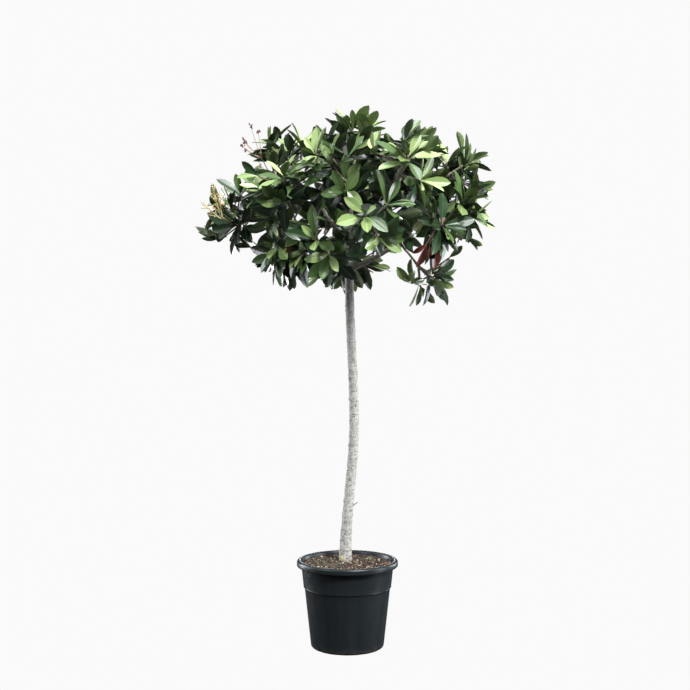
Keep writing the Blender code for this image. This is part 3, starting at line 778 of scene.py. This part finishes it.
solid_heights = [mix(TRUNK_FOOT.z, FORK_HEIGHT, i / (SOLID_RINGS - 1)) for i in range(SOLID_RINGS)]
limbs = {"trunk": Limb([trunk_centre(z) for z in solid_heights], [trunk_radius(z) for z in solid_heights])}
spaces = {}
# The boughs' bark is the trunk's bark painted darker, pale and flecks alike: painted shade of the crown above them.
bough_bark_painted_shade = bark_finish("bough_bark_painted_shade", (0.260, 0.240, 0.205), (0.060, 0.050, 0.040), FORK_HEIGHT * 2.0)
for name, parent, share, _, _ in CROWN:
    space = spaces[name] = Space(name)
    start, width = limbs[parent].at(share)
    inwards = (start - space.middle).normalized()
    depth = min(reach_along(inwards, space.reach) * BOUGH_ENTRY, space.room(inwards) * DEEPEST_ENTRY)
    first = max(THINNEST_ROOT, width * BOUGH_THICKNESS)
    last = max(THINNEST_BOUGH, first * BOUGH_TAPER)
    end = space.middle + inwards * depth
    radii = [mix(first, last, i / (BOUGH_RINGS - 1)) for i in range(BOUGH_RINGS)]
    limbs[name] = Limb(bowed(start, end, BOUGH_LIFT, BOUGH_RINGS), radii)
    rings = []
    for i, place in enumerate(bowed(start, end, BOUGH_LIFT, BOUGH_STEPS)):
        t = i / (BOUGH_STEPS - 1)
        rings.append((place, mix(first, last, t) * (1.0 + COLLAR * math.exp(-t / COLLAR_LENGTH))))
    bough = raised("limb_" + name, rings, BOUGH_SIDES, end - start)
    for vert in bough.data.vertices:
        vert.co += vert.normal * bark_relief(vert.co) * BOUGH_ROUGHNESS
    bough.data.materials.append(bough_bark_painted_shade)
    smooth(bough, 60.0)
    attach(bough, "root")
    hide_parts("bough_" + name)


# The twigs: each bough runs on into three main twigs and finer shoots, brown where the leaves sit. The shoots
# seen in front come first, each in its own spray, and the others grow where the crown has the most room.

GROWTH_SEED = 3
TWIGS = 3
TWIG_CHOICES = 7
TWIG_SHARE = (0.26, 0.48)
HEART_SHARE = 0.70
CLEAR = 0.0003
CROWN_HEART = Vector((0.0, 0.0, 1.62))
TWIG_LIFT = -0.08
GOLDEN_TURN = math.pi * (3.0 - math.sqrt(5.0))
SEEN_SHOOTS = (
    ("top", (0.020, -0.010, 2.046), 0.95, None),
    ("top", (0.080, -0.010, 2.043), 0.95, None),
    ("front_top", (0.021, -0.200, 1.845), 0.90, None),
    ("upper_right", (0.300, 0.000, 1.941), 0.55, "leaf_young"),
    ("front_right", (0.153, -0.200, 1.799), 0.40, None),
    ("right_high", (0.345, -0.080, 1.821), 0.45, "leaf_tan"),
    ("right_high", (0.466, 0.030, 1.887), 0.60, None),
    ("right", (0.492, -0.030, 1.785), 0.20, None),
    ("right", (0.420, -0.060, 1.700), 0.35, None),
    ("right_low", (0.368, -0.120, 1.645), 0.40, "leaf_tan"),
    ("right_low", (0.235, -0.180, 1.600), 0.45, "leaf_yellow"),
    ("drooping", (0.339, -0.080, 1.455), 0.10, None),
    ("front", (0.094, -0.300, 1.613), 0.45, None),
    ("front", (0.080, -0.230, 1.548), 0.10, None),
    ("low_front", (-0.129, -0.250, 1.626), 0.55, None),
    ("low_front", (-0.178, -0.220, 1.535), 0.15, None),
    ("low_left", (-0.271, -0.120, 1.544), 0.30, None),
    ("left_middle", (-0.178, -0.220, 1.802), 0.70, None),
    ("upper_left", (-0.227, -0.020, 1.939), 0.45, None),
    ("left", (-0.416, -0.060, 1.674), 0.25, "leaf_yellow"),
)  # the spray it belongs to, where it ends, how pale its leaves are from 0 to 1, and the paint of one odd leaf
DRIED_SPRAYS = (
    ("right_low", (0.302, -0.165, 1.578), "leaf_red", ((-0.75, 0.0, -0.66), 0.066), ((-0.3, -0.1, -1.0), 0.098)),
    ("right_low", (0.312, -0.165, 1.574), "leaf_red", ((0.05, -0.1, -1.0), 0.056)),
    ("right_low", (0.338, -0.165, 1.552), "leaf_red", ((0.02, -0.1, -1.0), 0.074), ((0.35, 0.0, -0.9), 0.052)),
    ("low_front", (-0.212, -0.280, 1.572), "leaf_rust", ((-0.25, 0.0, -1.0), 0.045)),
)  # the spray it belongs to, where its shoot ends, its paint, then the direction and length of each old leaf
ALL_DEPTHS = 9.0
GAPS = (
    ("below the left tip", -0.521, 1.562, 0.045, ALL_DEPTHS),
    ("left of the low left spray", -0.449, 1.503, 0.035, ALL_DEPTHS),
    ("under the low left spray", -0.354, 1.432, 0.035, ALL_DEPTHS),
    ("over the lowest left leaf", -0.410, 1.547, 0.017, ALL_DEPTHS),
    ("behind the left tip", -0.362, 1.618, 0.015, ALL_DEPTHS),
    ("over the left tip", -0.376, 1.673, 0.015, ALL_DEPTHS),
    ("notch of the left shoulder", -0.323, 1.895, 0.016, ALL_DEPTHS),
    ("notch left of the top", -0.168, 2.066, 0.020, ALL_DEPTHS),
    ("notch right of the top", 0.189, 2.070, 0.032, ALL_DEPTHS),
    ("foot of that notch", 0.200, 2.010, 0.018, ALL_DEPTHS),
    ("notch of the right shoulder", 0.418, 1.982, 0.016, ALL_DEPTHS),
    ("notch at the right tip", 0.553, 1.860, 0.024, ALL_DEPTHS),
    ("under the right tip", 0.486, 1.535, 0.045, ALL_DEPTHS),
    ("over the red leaves", 0.288, 1.610, 0.016, ALL_DEPTHS),
    ("left of the red leaves", 0.193, 1.523, 0.024, ALL_DEPTHS),
    ("right of the fork", 0.090, 1.555, 0.013, ALL_DEPTHS),
    ("left of the drooping spray", 0.145, 1.455, 0.020, ALL_DEPTHS),
    ("left of the trunk", -0.124, 1.416, 0.020, ALL_DEPTHS),
    ("over the fork", -0.097, 1.618, 0.014, ALL_DEPTHS),
    ("before the panicle", -0.54, 1.77, 0.05, -0.10),
    ("before the panicle's foot", -0.50, 1.72, 0.03, -0.10),
    ("before the red leaves", 0.30, 1.54, 0.04, -0.14),
    ("before the last red leaf", 0.36, 1.52, 0.02, -0.14),
)  # where it is, X and Z as seen from the front, its radius, and how near a leaf has to be to fill it
GAP_MARGIN = 0.006
SEEN_ROOM = 0.085
SHOOTS_IN_ALL = 190
SHOOT_CHOICES = 44
SHOOT_SHARE = (0.40, 0.68)
LEAST_OUTWARD = -0.35
PALE_MIDDLE, PALE_SPREAD, PALER_UPWARD = 0.49, 0.29, 0.45
TWIG_RADII = (0.0058, 0.0042)
SHOOT_RADII = (0.0036, 0.0024)
TWIG_SIDES = 7
TWIG_STEPS = 7
NEARLY_UPRIGHT = 0.9


def tube(line, radii, sides):
    """The points and faces of a closed round limb along a line."""
    start = (line[1] - line[0]).normalized()
    side = start.cross(UP if abs(start.z) < NEARLY_UPRIGHT else Vector((1.0, 0.0, 0.0)))
    points, faces = [], []
    for i, (centre, radius) in enumerate(zip(line, radii)):
        along = (line[min(i + 1, len(line) - 1)] - line[max(i - 1, 0)]).normalized()
        side = (side - along * side.dot(along)).normalized()
        other = along.cross(side)
        for k in range(sides):
            angle = math.tau * k / sides
            points.append(centre + (side * math.cos(angle) + other * math.sin(angle)) * radius)
    for low in range(0, (len(line) - 1) * sides, sides):
        faces += [(low + k, low + (k + 1) % sides, low + sides + (k + 1) % sides, low + sides + k) for k in range(sides)]
    faces.append(tuple(reversed(range(sides))))
    faces.append(tuple(range(len(points) - sides, len(points))))
    return np.array([point[:] for point in points]), faces


def fan_directions(count, phase):
    """Directions spread evenly over a ball by the golden turn, from its top down."""
    for k in range(count):
        height = 1.0 - 2.0 * (k + 0.5) / count
        level = math.sqrt(1.0 - height * height)
        angle = phase + GOLDEN_TURN * k
        yield Vector((level * math.cos(angle), level * math.sin(angle), height))


def seen_from_front(point):
    """Where a point shows on the trunk's own plane, from the camera."""
    spread = CAMERA_PLACE[1] / (CAMERA_PLACE[1] - point.y)
    return Vector((mix(CAMERA_PLACE[0], point.x, spread), mix(CAMERA_PLACE[2], point.z, spread)))


def clear_of_gaps(foot, tip):
    """Whether a blade from foot to tip keeps out of every gap that shows in the crown from the front."""
    start, end = seen_from_front(foot), seen_from_front(tip)
    run = end - start
    for _, x, z, radius, nearer_than in GAPS:
        gap = Vector((x, z))
        share = min(1.0, max(0.0, (gap - start).dot(run) / run.dot(run)))
        if foot.y < nearer_than and (start + run * share - gap).length < radius + GAP_MARGIN:
            return False
    return True


def hides_a_seen_shoot(end):
    """Whether a shoot there would stand in front of one of those that show."""
    spot = seen_from_front(end)
    in_front = [Vector(row[1]) for row in SEEN_SHOOTS if end.y < row[1][1]]
    return any((spot - seen_from_front(place)).length < SEEN_ROOM for place in in_front)


twig_copies = []
joints = {}
tips = []
shoots = []


def add_twig(line, radii, brown):
    points, faces = tube(line, radii, TWIG_SIDES)
    twig_copies.append((points, faces, [brown] * len(faces)))


def add_bare_shoot(name, end):
    """A fine shoot from the nearest joint of its own spray out to a place."""
    fork = min(joints[name], key=lambda joint: (joint - end).length)
    line = bowed(fork, end, TWIG_LIFT, TWIG_STEPS)
    add_twig(line, [mix(*SHOOT_RADII, i / (TWIG_STEPS - 1)) for i in range(TWIG_STEPS)], 1)
    return line


def add_shoot(name, end, pale, odd):
    """A fine shoot for a rosette to sit on, and the rosette's paleness and odd leaf."""
    line = add_bare_shoot(name, end)
    tips.append(end)
    shoots.append((name, end, (line[-1] - line[-2]).normalized(), pale, odd))


main_shoots = []
for name, *_ in CROWN:
    space, bough = spaces[name], limbs[name]
    rule = random.Random(f"{name} {GROWTH_SEED}")
    start = bough.line[-1]
    heart = (start + bough.heading() * CLEAR).lerp(space.middle, HEART_SHARE)
    radii = [mix(bough.radii[-1], TWIG_RADII[0], smoothstep(i / (TWIG_STEPS - 1))) for i in range(TWIG_STEPS)]
    add_twig(bowed(start, heart, 0.0, TWIG_STEPS), radii, 0)
    outwards = space.middle - CROWN_HEART
    fan = sorted(fan_directions(TWIG_CHOICES, rule.uniform(0.0, math.tau)), key=outwards.dot)
    joints[name] = [heart]
    for direction in fan[-TWIGS:]:
        end = space.middle + direction * space.room(direction) * rule.uniform(*TWIG_SHARE)
        line = bowed(heart, end, TWIG_LIFT, TWIG_STEPS)
        add_twig(line, [mix(*TWIG_RADII, i / (TWIG_STEPS - 1)) for i in range(TWIG_STEPS)], 0)
        joints[name] += [line[2], line[4]]
        main_shoots.append((name, end, (line[-1] - line[-2]).normalized()))
for name, place, pale, odd in SEEN_SHOOTS:
    add_shoot(name, Vector(place), pale, odd)
shade_chance = random.Random(f"shade {GROWTH_SEED}")


def paleness(end):
    """How pale a spray's leaves are: by chance, and more so towards the top of the crown."""
    upward = PALER_UPWARD * (end.z - spaces["right"].middle.z)
    return min(1.0, max(0.0, shade_chance.gauss(PALE_MIDDLE + upward, PALE_SPREAD)))


for name, end, growing in main_shoots:
    tips.append(end)
    shoots.append((name, end, growing, paleness(end), None))
choices = []
for name, *_ in CROWN:
    space = spaces[name]
    chance = random.Random(f"{name} shoots {GROWTH_SEED}")
    outwards = (space.middle - CROWN_HEART).normalized()
    for direction in fan_directions(SHOOT_CHOICES, chance.uniform(0.0, math.tau)):
        share = chance.uniform(*SHOOT_SHARE)
        if direction.dot(outwards) > LEAST_OUTWARD:
            reach = min(space.room(direction), reach_along(direction, space.reach) * share)
            end = space.middle + direction * reach
            if clear_of_gaps(end, end + direction * CLEAR) and not hides_a_seen_shoot(end):
                choices.append((name, end))
room = [min((place - tip).length for tip in tips) for _, place in choices]
while len(shoots) < SHOOTS_IN_ALL:
    name, end = choices[room.index(max(room))]
    add_shoot(name, end, paleness(end), None)
    room = [min(space_left, (place - end).length) for space_left, (_, place) in zip(room, choices)]

for name, place, *_ in DRIED_SPRAYS:
    add_bare_shoot(name, Vector(place))
DRY_STUB = ((0.022, -0.006, 0.553), (0.040, -0.012, 0.568))
add_twig(bowed(Vector(DRY_STUB[0]), Vector(DRY_STUB[1]), 0.1, TWIG_STEPS), [0.0016] * TWIG_STEPS, 1)
twig_bark = bark_finish("twig_bark", (0.250, 0.222, 0.176), (0.055, 0.043, 0.032), FORK_HEIGHT * 2.0)
shoot_bark = finish_colour("brown_shoot", (0.120, 0.082, 0.045), 0.7, 300.0, 0.0008)[0]
twigs = join_copies("twigs", twig_copies, [twig_bark, shoot_bark])
smooth(twigs, 60.0)
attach(twigs, "root")


# The leaves: thick, glossy blades on short stalks, widest past the middle, folded along a pale midrib, in
# rosettes round the ends of the shoots. The young ones stand up and are pale, and the old ones are nearly black.

LEAVES_ROUND_A_SHOOT = 10
OPEN_SPRAY = "drooping"
LEAVES_WHERE_OPEN = 5
SEEN_FACING = 1.1
HALVES_MEET = 0.02
DRIED_BEND = (0.95, 0.22, 0.50, 0.07)
DRIED_FACING = Vector((0.4, -1.0, 0.0))
FRONT = Vector((0.0, -1.0, 0.0))
LEAF_TRIES = 46
LEAF_LENGTHS = (0.100, 0.142)
YOUNG_LENGTH = 0.72
LEAF_ROWS = (
    (0.00, 0.014),
    (0.13, 0.028),
    (0.32, 0.106),
    (0.54, 0.168),
    (0.74, 0.162),
    (0.90, 0.098),
    (1.00, 0.008),
)  # share along the leaf, half its width there, for a leaf 1 long
LEAF_COLUMNS = (-1.0, -0.52, -0.05, 0.05, 0.52, 1.0)
LEAF_THICK = 0.014
LEAF_BENDS = (
    (0.30, 0.06, 0.00, 0.03),
    (0.22, 0.16, 0.25, -0.04),
    (0.40, 0.10, -0.30, 0.05),
    (0.18, 0.24, 0.10, 0.00),
    (0.34, -0.05, -0.15, -0.06),
    (0.26, 0.02, 0.35, 0.02),
)  # how steep its two halves fold, how far its tip bends down, how much it twists, how far it sways
LEAF_OPENING = (20.0, 98.0)
LEAF_SPREAD = 11.0
ROSETTE_LENGTH = 0.026
DROOP = 0.75
OPEN_DROOP = 0.30
YOUNG_DROOP = 0.3
SHORTEST_UP = 0.2
HANGING_BELOW = 1.45
STANDING_ABOVE = 2.00
AXIS_RISE, AXIS_TOP_RISE, AXIS_OUTWARD = 0.25, 0.80, 0.35
RISING_FROM, RISING_RUN = 1.80, 0.20
CELL = 0.10
PALE_BY_AGE, PALE_BY_SPRAY, PALE_CHANCE = 0.60, 0.62, 0.11
PALENESS = ((0.36, "leaf_old"), (0.56, "leaf_deep"), (0.76, "leaf_green"), (0.96, "leaf_fresh"), (9.0, "leaf_young"))
LEAF_PAINTS = (
    ("leaf_old", (0.0036, 0.0098, 0.0048), 0.30, "under_green", "rib_dark"),
    ("leaf_deep", (0.0165, 0.0400, 0.0140), 0.30, "under_green", "rib_dark"),
    ("leaf_green", (0.0640, 0.1160, 0.0350), 0.33, "under_green", "rib_dark"),
    ("leaf_fresh", (0.1700, 0.2450, 0.0850), 0.36, "under_pale", "rib_pale"),
    ("leaf_young", (0.2900, 0.3750, 0.1600), 0.40, "under_pale", "rib_pale"),
    ("leaf_yellow", (0.2900, 0.3100, 0.0750), 0.42, "under_pale", "rib_pale"),
    ("leaf_tan", (0.3900, 0.2900, 0.2300), 0.60, "under_dry", "under_dry"),
    ("leaf_rust", (0.2700, 0.0900, 0.0250), 0.55, "under_dry", "under_dry"),
    ("leaf_red", (0.2300, 0.0720, 0.0520), 0.45, "under_dry", "under_dry"),
    ("under_green", (0.0300, 0.0460, 0.0160), 0.60, None, None),
    ("under_pale", (0.1050, 0.1500, 0.0500), 0.60, None, None),
    ("under_dry", (0.2700, 0.1200, 0.0800), 0.62, None, None),
    ("rib_dark", (0.0450, 0.0720, 0.0240), 0.40, None, None),
    ("rib_pale", (0.3000, 0.3800, 0.1600), 0.45, None, None),
)  # name, colour, roughness, the paint of its underside, the paint of its midrib
PAINT = {row[0]: i for i, row in enumerate(LEAF_PAINTS)}


def leaf_shape(fold, recurve, twist, sway):
    """One blade, 1 long and thin at its margins: its points, its faces and where each face is on it."""
    deselect()
    rows, columns = len(LEAF_ROWS) - 1, len(LEAF_COLUMNS) - 1
    bpy.ops.mesh.primitive_grid_add(x_subdivisions=columns, y_subdivisions=rows, size=1.0)
    blade = bpy.context.object
    flesh = blade.vertex_groups.new(name="flesh")
    for vert in blade.data.vertices:
        column, row = round((vert.co.x + 0.5) * columns), round((vert.co.y + 0.5) * rows)
        (along, half), across = LEAF_ROWS[row], LEAF_COLUMNS[column]
        lift = abs(across) * fold + twist * across * along
        vert.co = (across * half + sway * along**2, along, lift * half - recurve * along**2)
        if 0 < column < columns and 0 < row < rows:
            flesh.add([vert.index], 1.0, "REPLACE")
    thick = blade.modifiers.new("Thick", "SOLIDIFY")
    thick.thickness = LEAF_THICK
    thick.offset = -1.0
    thick.vertex_group = flesh.name
    thick.use_rim = False
    apply_modifier(blade, thick)
    bpy.ops.object.mode_set(mode="EDIT")
    bpy.ops.mesh.select_all(action="SELECT")
    bpy.ops.mesh.remove_doubles(threshold=LEAF_THICK / 50.0)
    bpy.ops.object.mode_set(mode="OBJECT")
    kinds = []
    for face in blade.data.polygons:
        off_middle = abs(face.center.x - sway * face.center.y**2)
        rib = off_middle < 0.006
        kinds.append("under" if face.normal.z < 0.0 else "rib" if rib else "upper")
    points, faces = read_shape(blade)
    return points, faces, kinds


leaf_shapes = [leaf_shape(*bend) for bend in LEAF_BENDS]


def leaf_place(tip, axis, turn, age, droop, chance):
    """Where a leaf of a rosette grows: its root, its direction and its upper side. The youngest stand up."""
    across = axis.orthogonal().normalized()
    outwards = across * math.cos(turn) + axis.cross(across) * math.sin(turn)
    opening = math.radians(mix(*LEAF_OPENING, age) + chance.uniform(-LEAF_SPREAD, LEAF_SPREAD))
    along = axis * math.cos(opening) + outwards * math.sin(opening)
    along = (along - UP * droop * mix(YOUNG_DROOP, 1.0, age)).normalized()
    up = axis - along * axis.dot(along)
    if up.length < SHORTEST_UP:
        up = UP - along * UP.dot(along)
    return tip - axis * ROSETTE_LENGTH * age, along, up.normalized()


GUARD_FACES = [(0, 1, 2), (0, 2, 3), (1, 4, 2), (2, 4, 3)]
planted = {}


def blade_guard(root, along, up, length):
    """A search tree over a blade's rough outline, clear of its stalk, and the outline's own points."""
    wide = along.cross(up) * length * 0.18
    foot, shoulder, tip = root + along * length * 0.24, root + along * length * 0.66, root + along * length
    corners = [foot, shoulder - wide, shoulder, shoulder + wide, tip]
    return BVHTree.FromPolygons(corners, GUARD_FACES), corners


def cells_of(corners):
    return {tuple(math.floor(value / CELL) for value in corner) for corner in corners}


def is_free(guard, corners):
    """Whether a blade touches none of the blades planted so far."""
    near = {id(other): other for cell in cells_of(corners) for other in planted.get(cell, ())}
    return not any(guard.overlap(other) for other in near.values())


def placed_leaf(shape, root, along, up, length, upper):
    """A copy of a blade at its place, with its upper side, underside and midrib each in their own paint."""
    points, faces, kinds = shape
    _, _, _, under, rib = LEAF_PAINTS[PAINT[upper]]
    number = {"upper": PAINT[upper], "under": PAINT[under], "rib": PAINT[rib]}
    turned = np.array((along.cross(up)[:], along[:], up[:]))
    return points * length @ turned + np.array(root[:]), faces, [number[kind] for kind in kinds]


limb_guards = []
for limb in limbs.values():
    points, faces = tube(limb.line, [radius + 0.001 for radius in limb.radii], 8)
    limb_guards.append(BVHTree.FromPolygons([Vector(point) for point in points], faces))


def paint_of(age, pale, chance):
    """A leaf's paint by its age, from 0, and by how pale its spray is."""
    paleness_here = (1.0 - age) * PALE_BY_AGE + pale * PALE_BY_SPRAY + chance.gauss(0.0, PALE_CHANCE)
    return next(paint for limit, paint in PALENESS if paleness_here < limit)


def plant(guard, corners):
    """Keeps a blade's guard, so that later blades grow clear of it."""
    for cell in cells_of(corners):
        planted.setdefault(cell, []).append(guard)


def rosette(tip, axis, droop, space, pale, odd, count, chance):
    """The leaves round a shoot's end, each in its spray's reach and clear of the other blades and the limbs."""
    grown = []
    turn = chance.uniform(0.0, math.tau)
    for _ in range(LEAF_TRIES):
        turn += GOLDEN_TURN
        age = min(1.0, (len(grown) + chance.random()) / LEAVES_ROUND_A_SHOOT)
        root, along, up = leaf_place(tip, axis, turn, age, droop, chance)
        length = chance.uniform(*LEAF_LENGTHS) * mix(YOUNG_LENGTH, 1.0, smoothstep(age * 2.2))
        guard, corners = blade_guard(root, along, up, length)
        if not space.within_reach(corners) or not clear_of_gaps(root, corners[-1]) or not is_free(guard, corners):
            continue
        if any(guard.overlap(other) for other in limb_guards):
            continue
        plant(guard, corners)
        upper = odd if odd and len(grown) == 3 else paint_of(age, pale, chance)
        grown.append(placed_leaf(chance.choice(leaf_shapes), root, along, up, length, upper))
        if len(grown) == count:
            break
    return grown


def half_of(name):
    """The half of the crown that a spray's leaves are joined into."""
    return "left" if spaces[name].middle.x < HALVES_MEET else "right"


leaf_copies = {"left": [], "right": []}
dried_shape = leaf_shape(*DRIED_BEND)
for name, place, paint, *hanging_leaves in DRIED_SPRAYS:
    for heading, length in hanging_leaves:
        along = Vector(heading).normalized()
        up = (DRIED_FACING - along * DRIED_FACING.dot(along)).normalized()
        plant(*blade_guard(Vector(place), along, up, length))
        leaf_copies[half_of(name)].append(placed_leaf(dried_shape, Vector(place), along, up, length, paint))

for i, (name, end, growing, pale, odd) in enumerate(shoots):
    space = spaces[name]
    chance = random.Random(f"{name} leaves {i} {GROWTH_SEED}")
    hanging = 1.0 - smoothstep((end.z - HANGING_BELOW) / (STANDING_ABOVE - HANGING_BELOW))
    rising = mix(AXIS_RISE, AXIS_TOP_RISE, smoothstep((end.z - RISING_FROM) / RISING_RUN))
    axis = growing + UP * rising + (end - CROWN_HEART).normalized() * AXIS_OUTWARD
    if i < len(SEEN_SHOOTS):
        axis += FRONT * SEEN_FACING * hanging
    axis.normalize()
    thin = name == OPEN_SPRAY and i >= len(SEEN_SHOOTS)
    count = LEAVES_WHERE_OPEN if thin else LEAVES_ROUND_A_SHOOT
    droop = hanging * (OPEN_DROOP if name == OPEN_SPRAY else DROOP)
    leaf_copies[half_of(name)] += rosette(end, axis, droop, space, pale, odd, count, chance)

leaf_paints = []
for name, colour, roughness, under, _ in LEAF_PAINTS:
    material, _, shader = finish_colour(name, colour, roughness, 170.0, 0.0010)
    if under:
        shader.inputs["Specular IOR Level"].default_value = 0.25
        shader.inputs["Coat Weight"].default_value = 0.85
        shader.inputs["Coat Roughness"].default_value = 0.14
    leaf_paints.append(material)
for half, copies in leaf_copies.items():
    leaves = join_copies("leaves_" + half + "_half", copies, leaf_paints)
    smooth(leaves, 50.0)
    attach(leaves, "root")
    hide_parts(*["leaves_" + row[0] for row in CROWN if half_of(row[0]) == half])


# The flower heads: last season's dried panicles on the left, straw coloured and fluffy, small brown heads on thin
# stalks at the upper left, and a few short spikes. Each stalk grows from the nearest shoot.

BUD_SIZE = 0.0048
PANICLES = (
    ((-0.486, -0.130, 1.678), (-0.26, -0.05, 1.00), 0.135, 9, 0.10),
    ((-0.488, -0.135, 1.676), (-0.80, 0.00, 0.65), 0.095, 7, 0.10),
    ((-0.480, -0.140, 1.680), (-0.10, -0.10, 1.00), 0.098, 7, 0.10),
    ((-0.388, -0.010, 1.825), (0.00, 0.00, 1.00), 0.042, 3, 0.10),
    ((-0.358, -0.010, 1.845), (0.10, 0.00, 1.00), 0.030, 2, 0.10),
    ((-0.346, -0.005, 1.865), (-0.02, 0.00, 1.00), 0.046, 3, 0.10),
    ((-0.441, -0.010, 1.792), (-0.05, 0.00, 1.00), 0.036, 2, 0.10),
)  # foot, direction, length, side branches, bare share of its stalk
HEADS_FOOT = (-0.338, -0.020, 1.926)
HEADS = (
    (-0.382, -0.020, 2.054),
    (-0.351, -0.030, 2.034),
    (-0.412, 0.000, 2.002),
    (-0.416, -0.030, 1.974),
    (-0.399, -0.045, 1.955),
    (-0.405, -0.010, 1.988),
)
BUDS_ON_A_HEAD = 9
PANICLE_STALK = (0.0020, 0.0009)
BRANCH_STALK = (0.0010, 0.0005)
BRANCH_SHARE = 0.40
BUD_STEP = 0.0052
bloom_chance = random.Random(7)
bud_points, bud_faces = crumb(1.0, 0.3)
bloom_copies = []


def add_stalk(start, end, radii, lift, paint):
    points, faces = tube(bowed(start, end, lift, 5), [mix(*radii, i / 4.0) for i in range(5)], 5)
    bloom_copies.append((points, faces, [paint] * len(faces)))


def add_bud(place, size, paint):
    stretched = bud_points * size * np.array((0.8, 0.8, 1.2))
    turned = turned_by(bloom_chance.uniform(0.0, math.tau), bloom_chance.gauss(0.0, 0.6), 0.0)
    bloom_copies.append((stretched @ turned.T + np.array(place[:]), bud_faces, [paint] * len(bud_faces)))


def add_buds_along(start, end, first_share):
    """Buds all along a branch, each a little off its line."""
    count = max(3, round((end - start).length / BUD_STEP))
    for k in range(count + 1):
        off = Vector([bloom_chance.gauss(0.0, 0.0017) for _ in range(3)])
        place = start.lerp(end, mix(first_share, 1.0, k / count)) + off
        add_bud(place, BUD_SIZE * bloom_chance.uniform(0.7, 1.15), bloom_chance.choice((0, 0, 1)))


def nearest_tip(place):
    return min(tips, key=lambda tip: (tip - place).length)


for foot, heading, length, branches, bare in PANICLES:
    foot, heading = Vector(foot), Vector(heading).normalized()
    end = foot + heading * length
    add_stalk(nearest_tip(foot), foot, (0.0022, 0.0020), 0.05, 2)
    add_stalk(foot, end, PANICLE_STALK, 0.0, 2)
    add_buds_along(foot, end, 0.45)
    across = heading.orthogonal().normalized()
    for k in range(branches):
        share = mix(bare, 0.85, k / branches)
        side = across * math.cos(k * GOLDEN_TURN) + heading.cross(across) * math.sin(k * GOLDEN_TURN)
        start = foot.lerp(end, share)
        tip = start + (heading * 0.8 + side * 0.6).normalized() * length * BRANCH_SHARE * mix(1.0, 0.45, share)
        add_stalk(start, tip, BRANCH_STALK, 0.0, 2)
        add_buds_along(start, tip, 0.25)
heads_foot = Vector(HEADS_FOOT)
add_stalk(nearest_tip(heads_foot), heads_foot, (0.0022, 0.0018), 0.05, 4)
for head in HEADS:
    head = Vector(head)
    add_stalk(heads_foot, head, (0.0019, 0.0012), -0.06, 4)
    for _ in range(BUDS_ON_A_HEAD):
        off = Vector([bloom_chance.gauss(0.0, 0.0042) for _ in range(3)])
        add_stalk(head, head + off, (0.0007, 0.0005), 0.0, 4)
        add_bud(head + off, BUD_SIZE * bloom_chance.uniform(1.2, 1.8), 3)
bloom_paints = [
    finish_colour("bloom_straw", (0.560, 0.460, 0.260), 0.9, 900.0, 0.0006)[0],
    finish_colour("bloom_ochre", (0.420, 0.240, 0.070), 0.9, 900.0, 0.0006)[0],
    finish_colour("bloom_stalk", (0.330, 0.300, 0.150), 0.8, 600.0, 0.0005)[0],
    finish_colour("bloom_brown", (0.130, 0.062, 0.050), 0.8, 900.0, 0.0006)[0],
    finish_colour("bloom_pale_stalk", (0.260, 0.190, 0.150), 0.8, 600.0, 0.0005)[0],
]
flower_heads = join_copies("flower_heads", bloom_copies, bloom_paints)
smooth(flower_heads, 60.0)
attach(flower_heads, "root")
